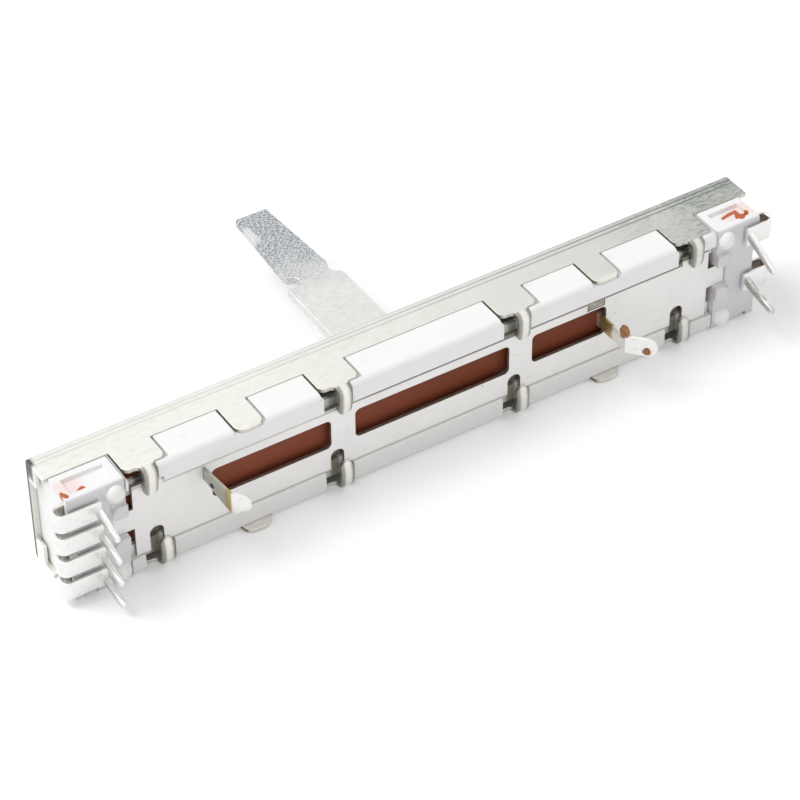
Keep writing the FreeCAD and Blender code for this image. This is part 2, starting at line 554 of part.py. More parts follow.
def resistor_board():
    """Phenolic board with notches that clear the staked pins."""
    piece = Piece("resistor_board")
    half, end = "board_half_height", "board_end"
    near = "(stake_place - stake_radius - board_clear)"
    far = "(stake_place + stake_radius + board_clear)"
    floor = "(stake_height - stake_radius - board_clear)"
    corners = []
    for hand, side in ((1, -1), (1, 1), (-1, 1), (-1, -1)):
        steps = [(end, half), (far, half), (far, floor), (near, floor), (near, half)]
        if hand * side < 0:
            steps.reverse()
        corners += [(f"{hand} * {x}", f"{side} * {z}") for x, z in steps]
    piece.block("front", "board_front", "board_thick", corners)
    holes = [ring(f"{hand} * eyelet_place", height, "(eyelet_radius + eyelet_gap)")
             for hand, height in EYELETS]
    piece.hollow("front", "0", "body_depth", *holes)
    return piece


def printed_track(label, middle, width):
    """One printed track on the front of the board."""
    piece = Piece(label)
    piece.block("front", "board_front - track_thick", "track_thick",
                box("-track_half_length", "track_half_length",
                    f"{middle} - {width} / 2", f"{middle} + {width} / 2"))
    return piece


def terminal_block(label, hand, heights):
    """White end block: board pocket, terminal slots, pin holes, tongue seat and a recess on top."""
    piece = Piece(label)
    block_end, strip_height = f"block_end_{SIDES[hand]}", f"strip_{SIDES[hand]}"
    inner = "(pad_end + block_gap)"
    piece.block("front", PAD_FRONT + " + fit_gap", f"body_depth - {PAD_FRONT} - fit_gap",
                box(f"{hand} * {inner}", f"{hand} * {block_end}", f"-{TOP}", TOP))
    piece.round_edges("pad_round / 2", "x", [("-body_depth", TOP), ("-body_depth", f"-{TOP}")])

    seat_top = "(end_tongue_middle + end_tongue_height / 2 + snap_gap)"
    seat_low = "(end_tongue_middle - end_tongue_height / 2 - snap_gap)"
    for low, high in ((seat_top, f"{seat_top} + snap_upper"), (f"{seat_low} - snap_lower", seat_low)):
        piece.block("front", "body_depth - fit_gap", "snap_rise + fit_gap",
                    box(f"{hand} * {inner}", f"{hand} * snap_end", low, high))
        piece.round_edges("snap_round", "y", [(f"{hand} * snap_end", low), (f"{hand} * snap_end", high)])

    def hollow_along(far, y0, y1, z0, z1, near=inner):
        """Cuts a channel along the part, from the block's inner side or from a place nearer its end."""
        start = near if hand > 0 else f"-{far}"
        piece.hollow("side", start, f"{far} - {near}", box(y0, y1, z0, z1))

    hollow_along("(board_end + fit_gap)", "-board_front + fit_gap", f"-{BOARD_REAR} - fit_gap",
                 "-board_half_height - fit_gap", "board_half_height + fit_gap")
    relief = "(eyelet_rise + fit_gap)"
    for height in heights:
        hollow_along(f"({block_end} + past)", f"-{BOARD_REAR}", f"-{STRIP_REAR} - {relief}",
                     f"{height} - {strip_height} / 2 - fit_gap", f"{height} + {strip_height} / 2 + fit_gap",
                     "(strip_start - fit_gap)")
    hollow_along("(eyelet_place + eyelet_head + fit_gap)", "-board_front", f"-board_front + {relief}",
                 "-board_half_height", "board_half_height", "(eyelet_place - eyelet_head - fit_gap)")
    hollow_along("(end_tongue_reach + fit_gap)", f"-{COVER_FRONT}", "-body_depth - past",
                 "end_tongue_middle - end_tongue_height / 2 - fit_gap",
                 "end_tongue_middle + end_tongue_height / 2 + fit_gap")
    hollow_along(f"({block_end} + past)", "0", "-body_depth - past", "-waist_low", "waist_high",
                 f"({block_end} - waist)")
    hollow_along(f"({block_end} - recess_inset)", f"-{PAD_FRONT} - recess_inset", "-body_depth + recess_inset",
                 f"{TOP} - recess_depth", f"{TOP} + past", f"({inner} + recess_inset)")
    hollow_along(f"({block_end} - foot_notch_near)", "0", "-body_depth - past",
                 f"-{TOP} - past", f"-{TOP} + foot_notch", f"({block_end} - foot_notch_far)")
    sketch = piece.sketch("front", "0")
    for side in (-1, 1):
        piece.circle(sketch, f"{hand} * stake_place", f"{side} * stake_height", "stake_radius + fit_gap")
    piece.pocket(sketch, "body_depth * 2")
    return piece


def terminal(label, hand, height, eyelet, droop, rise="0"):
    """Terminal: strip out of the block's end, bent back round the corner, then a pin to the rear."""
    piece = Piece(label)
    side = SIDES[hand]
    strip_height, length, place = f"strip_{side}", f"pin_length_{side}", f"pin_{side}"
    edge = f"(block_end_{side} + strip_out)"
    front, rear = f"-{BOARD_REAR}", f"-{STRIP_REAR}"
    far, near = f"-({BOARD_REAR} + bend_depth)", f"-({BOARD_REAR} + bend_depth - strip_thick)"
    start, reach = f"{hand} * strip_start", f"{hand} * {edge}"
    inside = f"{hand} * ({edge} - strip_thick)"
    leg_end = f"{hand} * ({place} - pin_width)"
    ribbon = [(start, front), (reach, front), (reach, far), (leg_end, far),
              (leg_end, near), (inside, near), (inside, rear), (start, rear)]
    piece.block("top", f"{height} - {strip_height} / 2", strip_height, ribbon)
    piece.round_edges("bend_round", "z", [(reach, front), (reach, far)])
    piece.round_edges("bend_round - strip_thick", "z", [(inside, near), (inside, rear)])
    piece.hollow("front", "0", STRIP_REAR + " + eyelet_rise",
                 ring(f"{hand} * eyelet_place", eyelet, "(eyelet_radius + eyelet_gap)"))
    drop = f"{length} * sin({droop} * 1 deg)"
    run = f"{length} * cos({droop} * 1 deg)"
    tip = f"{far} - {run}"
    root = f"{far} + strip_thick / 2"
    upper, lower = [f"{height} + {rise} {sign} pin_height / 2" for sign in "+-"]
    pin = [(root, upper), (tip, f"{upper} - {drop}"), (tip, f"{lower} - {drop}"), (root, lower)]
    outer = f"{hand} * {place}"
    piece.block("side", outer if hand < 0 else f"{outer} - pin_width", "pin_width", pin)
    piece.round_edges("pin_round", "x", [(tip, f"{edge} - {drop}") for edge in (upper, lower)])
    return piece


def solder_lug(label, hand, window_end):
    """Solder lug: foot on the board, strip out through the window's end, and a rounded end turned aside."""
    piece = Piece(label)
    height, drop, turn, eye_length = [f"{name}_{SIDES[hand]}" for name in
                                      ("lug_height", "lug_drop", "eye_turn", "eye_length")]
    near = f"({window_end} - lug_thick - lug_gap)"
    side = f"{hand} * {near}"
    outer = f"{hand} * ({near} + lug_thick)"
    foot = f"{hand} * ({near} + lug_foot)"
    front, rear = f"-{BOARD_REAR}", f"-({BOARD_REAR} + lug_thick)"
    middle = f"(window_middle - {drop})"
    corners = [(side, front), (foot, front), (foot, rear),
               (outer, rear), (outer, "-lug_depth"), (side, "-lug_depth")]
    piece.block("top", f"{middle} - {height} / 2", height, corners)
    # The end's own directions: along its length, and across its thickness
    along = (f"{hand} * sin({turn} * 1 deg)", f"-cos({turn} * 1 deg)")
    across = (f"{hand} * cos({turn} * 1 deg)", f"sin({turn} * 1 deg)")
    hinge = (side, "-lug_depth + lug_thick / 2")
    length = f"({eye_length} + eye_radius)"
    plate = []
    for step, thick in (("0", "0"), (length, "0"), (length, "lug_thick"), ("0", "lug_thick")):
        plate.append(tuple(f"{hinge[i]} + {along[i]} * {step} + {across[i]} * {thick}" for i in range(2)))
    piece.block("top", f"{middle} - eye_radius", "2 * eye_radius", plate)
    centre, end = [[f"{hinge[i]} + {along[i]} * {reach} + {across[i]} * lug_thick / 2" for i in range(2)]
                   for reach in (eye_length, length)]
    piece.round_at("eye_radius - eye_flat / 2", [end + [f"{middle} {sign} eye_radius"] for sign in "-+"])
    if hand > 0:
        piece.bore("eye_hole", "8 * lug_thick", centre + [f"{middle} - hole_sink"],
                   [value(across[0]), value(across[1]), 0])
    else:
        piece.bore("eye_hole", "8 * lug_thick", [side, "-lug_depth + hole_back", middle], [1, 0, 0])
    return piece


def lever():
    """Flat steel lever: foot, wide shank, neck notches and tapering blade."""
    piece = Piece("lever")
    half = [("foot_width / 2", "-foot_end"), ("foot_width / 2", "-foot_start"),
            ("lever_width / 2", "-foot_start"),
            ("lever_width / 2", "lever_shoulder"), ("lever_neck / 2", "lever_shoulder"),
            ("lever_neck / 2", "lever_shoulder + neck_length"),
            ("blade_width / 2", "lever_shoulder + neck_length + neck_step"), ("tip_width / 2", "lever_reach")]
    right = [(f"lever_rest + {x}", y) for x, y in half]
    left = [(f"lever_rest - {x}", y) for x, y in reversed(half)]
    piece.block("top", "-lever_thick / 2", "lever_thick", right + left)
    return piece


def carriage():
    """Plastic carriage with four shoes, a seat for the lever's foot and posts for the wipers."""
    piece = Piece("carriage")
    half = "carriage_length / 2"
    piece.block("front", "carriage_front", "carriage_rear - carriage_front",
                around("lever_rest", half, "-carriage_half_height", "carriage_half_height"))
    for side in (-1, 1):
        piece.hollow("front", "0", "body_depth",
                     around("lever_rest", f"({half} - shoe_length)",
                            f"{side} * (carriage_half_height + past)",
                            f"{side} * (carriage_half_height - carriage_relief)"))
    piece.hollow("top", "-lever_thick / 2 - fit_gap", "lever_thick + 2 * fit_gap",
                 around("lever_rest", "(foot_width / 2 + fit_gap)", "0", "-foot_end - fit_gap"))
    for side in (-1, 1):
        for post in ("post_near", "post_far"):
            piece.block("front", "carriage_rear - fit_gap", "fit_gap + wiper_thick * 2",
                        ring(f"lever_rest - {post}", f"{side} * post_height", "post_radius"))
    return piece


def wiper(label, side):
    """Spring contact: base plate on the carriage and two arms that reach a track and its collector."""
    piece = Piece(label)
    left = "lever_rest - wiper_base"
    base = "-carriage_rear"
    contact = "-(board_front - track_thick - wiper_clear)"
    top = "(track_place + track_width / 2)"
    low = "(collector_place - collector_width / 2)"
    touch, end = "lever_rest + wiper_contact", "lever_rest + wiper_arm"
    profile = [(left, base), ("lever_rest", base), (touch, f"{contact} + wiper_thick"),
               (end, f"{contact} + wiper_curl + wiper_thick"), (end, f"{contact} + wiper_curl"),
               (touch, contact), ("lever_rest", f"{base} - wiper_thick"), (left, f"{base} - wiper_thick")]
    piece.block("top", low if side > 0 else f"-{top}", f"{top} - {low}", profile)
    gap = "(track_place - track_width / 2 + collector_place + collector_width / 2) / 2"
    piece.hollow("front", "0", "body_depth",
                 box("lever_rest", f"{end} + past", f"{side} * ({gap}) - wiper_slit / 2",
                     f"{side} * ({gap}) + wiper_slit / 2"))
    piece.hollow("front", "0", "body_depth",
                 *[ring(f"lever_rest - {post}", f"{side} * post_height", "(post_radius + fit_gap / 2)")
                   for post in ("post_near", "post_far")])
    return piece


def drag_spring():
    """Bowed leaf spring that lies on the carriage's upper relief and presses on the cavity's ceiling."""
    piece = Piece("drag_spring")
    floor = "(carriage_half_height - carriage_relief)"
    crown = "(cavity_half_height - fit_gap - spring_thick)"
    lower = [("lever_rest - spring_length / 2", floor), ("lever_rest - spring_crown / 2", crown),
             ("lever_rest + spring_crown / 2", crown), ("lever_rest + spring_length / 2", floor)]
    upper = [(x, f"{z} + spring_thick") for x, z in reversed(lower)]
    piece.block("front", "spring_depth - spring_width / 2", "spring_width", lower + upper)
    return piece


def board_eyelets():
    """Eyelets that clamp the terminals to the board, one solid each, made as shank and two heads."""
    solids = []
    upright = FreeCAD.Rotation(FreeCAD.Vector(1, 0, 0), 90)
    for hand, height in EYELETS:
        stack = [("board_front - eyelet_rise", "eyelet_rise", "eyelet_head"),
                 ("board_front", "board_thick + strip_thick", "eyelet_radius"),
                 (STRIP_REAR, "eyelet_rise", "eyelet_head")]
        for depth, length, radius in stack:
            disc = doc.addObject("Part::Prism", "Disc")
            disc.Polygon = 8
            disc.Placement = FreeCAD.Placement(FreeCAD.Vector(), upright)
            disc.setExpression("Circumradius", bound(radius))
            disc.setExpression("Height", bound(length))
            disc.setExpression("Placement.Base.x", bound(f"{hand} * eyelet_place"))
            disc.setExpression("Placement.Base.y", bound(f"-({depth})"))
            disc.setExpression("Placement.Base.z", bound(height))
            solids.append(disc)
    joined = doc.addObject("Part::MultiFuse", "board_eyelets")
    joined.Label = "board_eyelets"
    joined.Shapes = solids
    return joined


pieces = [front_frame(), housing(), rear_cover(), resistor_board()]
for side, name in ((1, "upper"), (-1, "lower")):
    pieces.append(printed_track(f"resistive_track_{name}", f"{side} * track_place", "track_width"))
    pieces.append(printed_track(f"collector_track_{name}", f"{side} * collector_place", "collector_width"))
    pieces.append(wiper(f"wiper_{name}", side))
pieces.append(terminal_block("terminal_block_left", -1, LEFT_TERMINALS))
pieces.append(terminal_block("terminal_block_right", 1, RIGHT_TERMINALS))
for number, height in enumerate(LEFT_TERMINALS, start=1):
    pieces.append(terminal(f"terminal_left_{number}", -1, height, height, "droop_left"))
for number, sizes in enumerate(zip(RIGHT_TERMINALS, RIGHT_EYELETS, RIGHT_DROOPS), start=1):
    pieces.append(terminal(f"terminal_right_{number}", 1, *sizes, rise="pin_rise"))
pieces.append(solder_lug("solder_lug_left", -1, "window_left_end"))
pieces.append(solder_lug("solder_lug_right", 1, "window_right_end"))
pieces += [lever(), carriage(), drag_spring()]
results = [piece.body for piece in pieces] + [board_eyelets()]

doc.recompute()
for item in doc.Objects:
    if "Invalid" in item.State or "Error" in item.State:
        raise RuntimeError(f"{item.Label} could not be worked out: {item.State}")
for result in results:
    if result.Shape.isNull() or not result.Shape.isValid():
        raise RuntimeError(f"{result.Label} has no valid shape")

os.makedirs("parts", exist_ok=True)
for result in results:
    result.Shape.exportStep(f"parts/{result.Label}.step")
    print(result.Label, len(result.Shape.Solids), round(result.Shape.Volume, 2))
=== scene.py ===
# %% [markdown]
# # A slide potentiometer, dressed for the camera
# The solids of this part come from a CAD model: a folded steel frame, a white moulded body, a tinned
# cover with three windows, folded terminals and a flat lever. This lesson gives them soft edges, dried
# flux, wear and finishes, and lights them so that they look as they do on a bench.
# All pieces are in metres, in the frame of the CAD model, so nothing has to be fitted. Sizes of the
# part are written in millimetres here, and MM turns them into metres.

import math

import bmesh
import bpy
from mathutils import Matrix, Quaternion, Vector, noise


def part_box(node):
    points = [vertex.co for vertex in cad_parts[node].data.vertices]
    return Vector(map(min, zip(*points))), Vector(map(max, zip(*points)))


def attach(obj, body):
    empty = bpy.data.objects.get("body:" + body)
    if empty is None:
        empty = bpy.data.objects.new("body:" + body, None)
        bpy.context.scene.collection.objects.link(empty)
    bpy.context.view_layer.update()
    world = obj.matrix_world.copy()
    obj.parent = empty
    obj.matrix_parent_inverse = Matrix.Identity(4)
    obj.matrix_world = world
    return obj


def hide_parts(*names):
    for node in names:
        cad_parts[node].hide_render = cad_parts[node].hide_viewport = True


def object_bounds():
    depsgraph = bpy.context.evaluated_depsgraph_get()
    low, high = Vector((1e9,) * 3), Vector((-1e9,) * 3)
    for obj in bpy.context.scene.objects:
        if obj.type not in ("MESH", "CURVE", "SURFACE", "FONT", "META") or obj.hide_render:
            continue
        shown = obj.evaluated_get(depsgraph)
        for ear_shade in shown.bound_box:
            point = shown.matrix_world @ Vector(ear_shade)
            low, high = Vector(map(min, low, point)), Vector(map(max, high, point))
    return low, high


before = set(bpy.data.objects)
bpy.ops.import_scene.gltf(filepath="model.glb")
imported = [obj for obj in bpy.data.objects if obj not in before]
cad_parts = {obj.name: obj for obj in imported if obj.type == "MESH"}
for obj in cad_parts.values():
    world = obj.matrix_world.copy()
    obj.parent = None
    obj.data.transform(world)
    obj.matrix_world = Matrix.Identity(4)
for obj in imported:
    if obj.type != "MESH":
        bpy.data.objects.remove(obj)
cad_low, cad_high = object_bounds()
MM = 0.001
print("CAD box in mm:", [round(side / MM, 1) for side in cad_high - cad_low])

# %% [markdown]
# ## The camera
# The photograph looks down on the back of the part from its left. A camera is three facts: where it
# stands, what it looks at, and how long its lens is. The lens is worked out from the focal length in
# pixels of an 800 pixel picture. A slight roll is added, as nobody holds a camera quite level.

# %% Place the camera
CAMERA_PLACE = Vector((-132.66, -214.41, 212.31)) * MM
CAMERA_AIM = Vector((-3.29, -6.45, 0.21)) * MM
CAMERA_ROLL = math.radians(0.56)
FOCAL_PIXELS = 3045
PICTURE_PIXELS = 800

lens = bpy.data.cameras.new("camera")
lens.sensor_width = 36
lens.lens = FOCAL_PIXELS * lens.sensor_width / PICTURE_PIXELS
lens.clip_start = 0.01
camera = bpy.data.objects.new("camera", lens)
bpy.context.scene.collection.objects.link(camera)
camera.location = CAMERA_PLACE
camera.rotation_mode = "QUATERNION"
facing = (CAMERA_AIM - CAMERA_PLACE).to_track_quat("-Z", "Y")
camera.rotation_quaternion = facing @ Quaternion((0, 0, 1), -CAMERA_ROLL)
bpy.context.scene.camera = camera
bpy.context.scene.view_settings.view_transform = "Standard"
print("lens in mm:", round(lens.lens, 1))

# %% [markdown]
# ## Nodes that read like sums
# A finish is a network of nodes. Wiring it by hand hides the idea, so a small class wraps an output
# socket and lets Python's own operators add the Math nodes: `1 - mask * 0.5` makes two of them.
# A second class holds one material and adds every other node through a single method.

# %% A socket that can be added and multiplied
class Wire:
    """One output of a node in a finish, so that sums on it read like plain arithmetic."""

    def __init__(self, finish, socket):
        self.finish = finish
        self.socket = socket

    def math(self, operation, *others):
        """A Math node on this wire and the others."""
        return self.finish.node("ShaderNodeMath", {"operation": operation}, dict(enumerate((self, *others))))

    def __add__(self, other):
        return self.math("ADD", other)

    def __sub__(self, other):
        return self.math("SUBTRACT", other)

    def __rsub__(self, other):
        return self.finish.node("ShaderNodeMath", {"operation": "SUBTRACT"}, {0: other, 1: self})

    def __mul__(self, other):
        return self.math("MULTIPLY", other)

    def __truediv__(self, other):
        return self.math("DIVIDE", other)

    __radd__ = __add__
    __rmul__ = __mul__

    def most(self, other):
        """The larger of two values."""
        return self.math("MAXIMUM", other)

    def size(self):
        """The value without its sign."""
        return self.math("ABSOLUTE")

    def step(self, low, high):
        """0 below low, 1 above high, and a smooth climb between them."""
        return self.finish.node("ShaderNodeMapRange", {"interpolation_type": "SMOOTHSTEP"},
                                {"Value": self, "From Min": low, "From Max": high})

    def near(self, middle, half, soft):
        """1 within half of the middle, falling to 0 over the soft distance."""
        return 1 - (self - middle).size().step(half, half + soft)

    def near_any(self, middles, half, soft):
        """1 near any of the middles."""
        gaps = [(self - middle).size() for middle in middles]
        closest = gaps[0]
        for gap in gaps[1:]:
            closest = closest.math("MINIMUM", gap)
        return 1 - closest.step(half, half + soft)


# %% A finish that adds its own nodes
class Finish:
    """A material on one Principled shader. Patterns read object coordinates, in millimetres."""

    def __init__(self, name, colour, roughness, metallic=0.0, **fixed):
        self.material = bpy.data.materials.new(name)
        self.material.use_nodes = True
        self.tree = self.material.node_tree
        self.shader = self.tree.nodes["Principled BSDF"]
        self.set(Base_Color=colour, Roughness=roughness, Metallic=metallic, **fixed)
        spot = self.node("ShaderNodeTexCoord", output="Object")
        self.spot = self.node("ShaderNodeVectorMath", {"operation": "SCALE"}, {0: spot, "Scale": 1 / MM})
        self.x, self.y, self.z = [self.node("ShaderNodeSeparateXYZ", {}, {0: self.spot}, axis)
                                  for axis in "XYZ"]

    def feed(self, socket, value):
        """Links a wire to a socket, or sets the socket's own value."""
        if isinstance(value, Wire):
            self.tree.links.new(value.socket, socket)
        elif isinstance(value, tuple) and len(value) == 3 and socket.type == "RGBA":
            socket.default_value = (*value, 1.0)
        else:
            socket.default_value = value

    def node(self, kind, settings=None, sockets=None, output=0):
        """Adds a node: its settings first, then its sockets. Returns one of its outputs."""
        made = self.tree.nodes.new(kind)
        for name, value in (settings or {}).items():
            setattr(made, name, value)
        for name, value in (sockets or {}).items():
            self.feed(made.inputs[name], value)
        return Wire(self, made.outputs[output])

    def set(self, **sockets):
        """Feeds the shader's own sockets, named with _ for each space."""
        for name, value in sockets.items():
            self.feed(self.shader.inputs[name.replace("_", " ")], value)

    def mix(self, mask, under, over):
        """The colour under where the mask is 0, and over where it is 1."""
        return self.node("ShaderNodeMix", {"data_type": "RGBA"}, {0: mask, 6: under, 7: over}, 2)

    def grain(self, scale, detail=2.0, stretch=(1, 1, 1), shift=0.0):
        """Noise from 0 to 1 with about `scale` blotches to a millimetre."""
        placed = self.node("ShaderNodeMapping", {}, {"Vector": self.spot, "Location": (shift, shift, shift),
                                                     "Scale": stretch})
        return self.node("ShaderNodeTexNoise", {}, {"Vector": placed, "Scale": scale, "Detail": detail})

    def bump(self, height, depth):
        """Raises the surface by up to `depth` millimetres where the height is 1."""
        self.set(Normal=self.node("ShaderNodeBump", {}, {"Strength": 1.0, "Distance": depth * MM,
                                                         "Height": height}))


# %% [markdown]
# ## Soft edges
# Real sheet and moulded plastic have no sharp edges: each one is rounded by a tenth of a millimetre
# or so, and that thin band is what catches the light. A CAD node is loose triangles, so a copy is
# merged, its needless edges are dissolved, and a Bevel modifier rounds the sharp ones. A Weighted Normal
# modifier keeps the flats flat beside the rounded bands. The end blocks have steps finer than the
# rounding, so their faces are split into triangles first, and their flats are simply shaded flat. The
# copy then stands for the node. A second material goes on the faces that a chooser picks, such as the
# cut edges. Each piece has its own width of edge, given where the piece is made.

# %% A copy of a CAD node with soft edges
SAME_PLACE = 0.001 * MM
SAME_PLANE = math.radians(0.5)
SHARP_EDGE = math.radians(30)
FLAT_NORMAL = 0.9999


def smooth_faces(mesh, angle):
    """Shades a mesh smooth, but keeps its folds crisp."""
    mesh.polygons.foreach_set("use_smooth", [True] * len(mesh.polygons))
    mesh.set_sharp_from_angle(angle=angle)


def add_piece(name, mesh, body, slot, *finishes):
    """Links a finished mesh as a piece that rides on a body."""
    mesh.materials.clear()
    for finish in finishes:
        mesh.materials.append(finish.material)
    piece = bpy.data.objects.new(name, mesh)
    bpy.context.scene.collection.objects.link(piece)
    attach(piece, body)
    return piece


def as_mesh(source, name):
    """The mesh that an object's modifiers make. The object itself is removed."""
    shown = source.evaluated_get(bpy.context.evaluated_depsgraph_get())
    mesh = bpy.data.meshes.new_from_object(shown)
    mesh.name = name
    bpy.data.objects.remove(source)
    return mesh


def softened(node, name, width, body, slot, finishes, chooser=None, reshape=None, split=False):
    """Makes a copy of a CAD node with rounded edges, which stands for the node."""
    work = bmesh.new()
    work.from_mesh(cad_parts[node].data)
    bmesh.ops.remove_doubles(work, verts=work.verts, dist=SAME_PLACE)
    if reshape:
        for point in work.verts:
            point.co = reshape(point.co / MM) * MM
    bmesh.ops.dissolve_limit(work, angle_limit=SAME_PLANE, verts=work.verts, edges=work.edges)
    if chooser:
        for face in work.faces:
            face.material_index = 1 if chooser(face.calc_center_median() / MM, face.normal) else 0
    if split:
        bmesh.ops.triangulate(work, faces=work.faces)
    rough = bpy.data.meshes.new(name)
    work.to_mesh(rough)
    work.free()
    rounded_piece(rough, name, width, body, slot, finishes, node, split)


def rounded_piece(rough, name, width, body, slot, finishes, node, split=False):
    """Rounds the edges of a rough mesh, keeps it within its node's box and lets it stand for the node."""
    rough.polygons.foreach_set("use_smooth", [True] * len(rough.polygons))
    for finish in finishes:
        rough.materials.append(finish.material)
    maker = bpy.data.objects.new(name + "_maker", rough)
    bpy.context.scene.collection.objects.link(maker)
    rounding = maker.modifiers.new("edges", "BEVEL")
    rounding.width = width * MM
    rounding.segments = 2
    rounding.angle_limit = SHARP_EDGE
    rounding.use_clamp_overlap = False
    if not split:
        flats = maker.modifiers.new("flats", "WEIGHTED_NORMAL")
        flats.weight = 100
    mesh = as_mesh(maker, name)
    if split:
        sloping = [max(map(abs, face.normal)) < FLAT_NORMAL for face in mesh.polygons]
        mesh.polygons.foreach_set("use_smooth", sloping)
    low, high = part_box(node)
    for point in mesh.vertices:
        point.co = [min(max(at, least), most) for at, least, most in zip(point.co, low, high)]
    picked = [face.material_index for face in mesh.polygons]
    piece = add_piece(name, mesh, body, slot, *finishes)
    mesh.polygons.foreach_set("material_index", picked)
    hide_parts(node)
    print(name, "has", len(mesh.polygons), "faces")


# %% [markdown]
# ## Zinc-plated sheet
# The frame is bright sheet steel under a thin zinc coat. Its left half is a clean ivory grey, and
# towards the right end it turns greyer and coarser, with dark streaks along the rolling direction.
# Two fine lines run near its front edge, and the rounded front bend is darkened with painted shade.
# The left end face is painted paler, with painted shade along its edge and on its upper ear. The crimp
# fingers are bright on top, with painted shade on both flanks. The cut edges have no coat, so they are
# darker and a little olive, which is partly painted shade, apart from the long ones, which get a painted
# highlight. A mask gives each of these its place.

# %% The frame's finishes
FRAME_END = 44.0
ROLLED_LINES = ((-1.0, 0.05), (-1.6, 0.04))
UPPER_FINGERS = (-34.2, -11.2, 11.2, 34.2)
LOWER_FINGERS = (-32.9, -11.2, 11.2, 32.9)
FINGER_HALF = 0.7
TAB_DEPTH = 7.4


def at_fingers(finish, shift, half, soft):
    """1 near a place beside each finger: the upper ones above the middle line, the lower ones below."""
    above = finish.z.step(-0.5, 0.5)
    upper = finish.x.near_any([place + shift for place in UPPER_FINGERS], half, soft)
    lower = finish.x.near_any([place + shift for place in LOWER_FINGERS], half, soft)
    return upper * above + lower * (1 - above)


def zinc_sheet():
    """Bright zinc with rolling marks, greyer and coarser to the right, with painted shade at the front bend,
    finger flanks and left end.
    """
    finish = Finish("zinc_sheet", (0.9, 0.89, 0.83), 0.42, 0.75)
    along = finish.grain(2.6, 3, (0.12, 1, 1))
    mottle = finish.grain(1.5, 4, (0.6, 1, 1), 17)
    clouds = finish.grain(0.16, 2)
    pits = finish.grain(5.0, 5, (0.32, 1, 1), 11)
    finger = 1 - finish.y.step(-TAB_DEPTH - 0.5, -TAB_DEPTH - 0.1)
    right = (finish.x + clouds * 16 - 8).step(-26, 44) * (1 - finger * 0.7)
    end = (finish.x + clouds * 14 - 7).step(22, 42) * (1 - finger * 0.85)
    colour = finish.mix(right, (0.88, 0.875, 0.825), (0.62, 0.635, 0.605))
    colour = finish.mix(end * 0.85, colour, (0.40, 0.415, 0.39))
    colour = finish.mix(along.step(0.45, 0.75) * (0.12 + right * 0.3), colour, (0.60, 0.605, 0.565))
    colour = finish.mix(mottle.step(0.42, 0.68) * 0.3, colour, (0.70, 0.69, 0.61))
    streaks = pits.step(0.47, 0.62) * end * (0.3 + 0.7 * along.step(0.35, 0.6))
    colour = finish.mix(streaks * 0.8, colour, (0.17, 0.19, 0.18))
    strong, faint = [finish.y.near(place, half, 0.12) for place, half in ROLLED_LINES]
    lines = (strong + faint) * (0.3 + right * 0.6)
    # Painted shade on the rounded front bend, mixed with the two rolled lines.
    rim = finish.y.step(-0.75, -0.15)
    line_and_bend_shade = finish.mix(right, (0.42, 0.43, 0.41), (0.19, 0.21, 0.2))
    colour = finish.mix((lines + rim * 0.5).math("MINIMUM", 1), colour, line_and_bend_shade)
    # Painted shade on both flanks of each crimp finger.
    sides = finger * at_fingers(finish, 0, 1.3, 0.3) * (1 - at_fingers(finish, 0.08, 0.2, 0.42))
    colour = finish.mix(sides * 0.85, colour, (0.24, 0.23, 0.19))
    # The left end face is painted paler, and its edge gets painted shade.
    left_end = 1 - finish.x.step(-FRAME_END + 0.02, -FRAME_END + 0.12)
    colour = finish.mix(left_end, colour, (0.93, 0.925, 0.9))
    colour = finish.mix(left_end * finish.y.step(-0.55, -0.35), colour, (0.1, 0.075, 0.055))
    # Painted shade on the upper ear at the left end.
    ear_shade = (1 - finish.x.step(-FRAME_END + 0.1, -FRAME_END + 0.6)) * finish.y.step(-2.0, -1.2)
    ear_shade = ear_shade * finish.z.step(4.2, 5.2)
    colour = finish.mix(ear_shade * (0.5 + clouds.step(0.3, 0.6) * 0.5), colour, (0.09, 0.08, 0.065))
    finish.set(Base_Color=colour, Roughness=0.36 + along * 0.12 + end * 0.12)
    finish.bump(along * 0.6 + pits * end + clouds, 0.012)
    return finish


def cut_steel():
    """The bare edge of a stamped sheet: dark, partly as painted shade, torn across it, and with a painted
    highlight where it faces front or back.
    """
    # The dark tones are bare steel, deepened as painted shade.
    finish = Finish("cut_steel", (0.2, 0.17, 0.13), 0.5, 0.7)
    tear = finish.grain(3.0, 2, (1, 1, 0.3))
    colour = finish.mix(tear, (0.14, 0.12, 0.09), (0.42, 0.39, 0.32))
    # Edges that face front or back get a painted highlight.
    facing = finish.node("ShaderNodeTexCoord", output="Normal")
    lit_long_edge = finish.node("ShaderNodeSeparateXYZ", {}, {0: facing}, "Y").size().step(0.5, 0.8)
    finish.set(Base_Color=finish.mix(lit_long_edge * (0.6 + tear * 0.4), colour, (0.78, 0.77, 0.70)))
    return finish


zinc = zinc_sheet()
cut_edge = cut_steel()

# %% The frame, with its cut edges picked out
SHEET = 0.5
FRAME_EDGE = 0.07
FRAME_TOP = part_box("front_frame")[1].z / MM


def is_cut_edge(middle, normal):
    """True for the thin sides of the flanges, tabs and tongues, but not for the fingers' bends."""
    fingers = UPPER_FINGERS if middle.z > 0 else LOWER_FINGERS
    beside = min(abs(middle.x - place) for place in fingers)
    on_finger = middle.y < -TAB_DEPTH - 0.3 and beside < FINGER_HALF
    in_flange = abs(middle.z) > FRAME_TOP - SHEET * 1.02 and middle.y < -SHEET * 1.5
    return in_flange and abs(normal.z) < 0.5 and not on_finger


softened("front_frame", "folded_frame", FRAME_EDGE, "body", "frame_steel", [zinc, cut_edge], is_cut_edge)
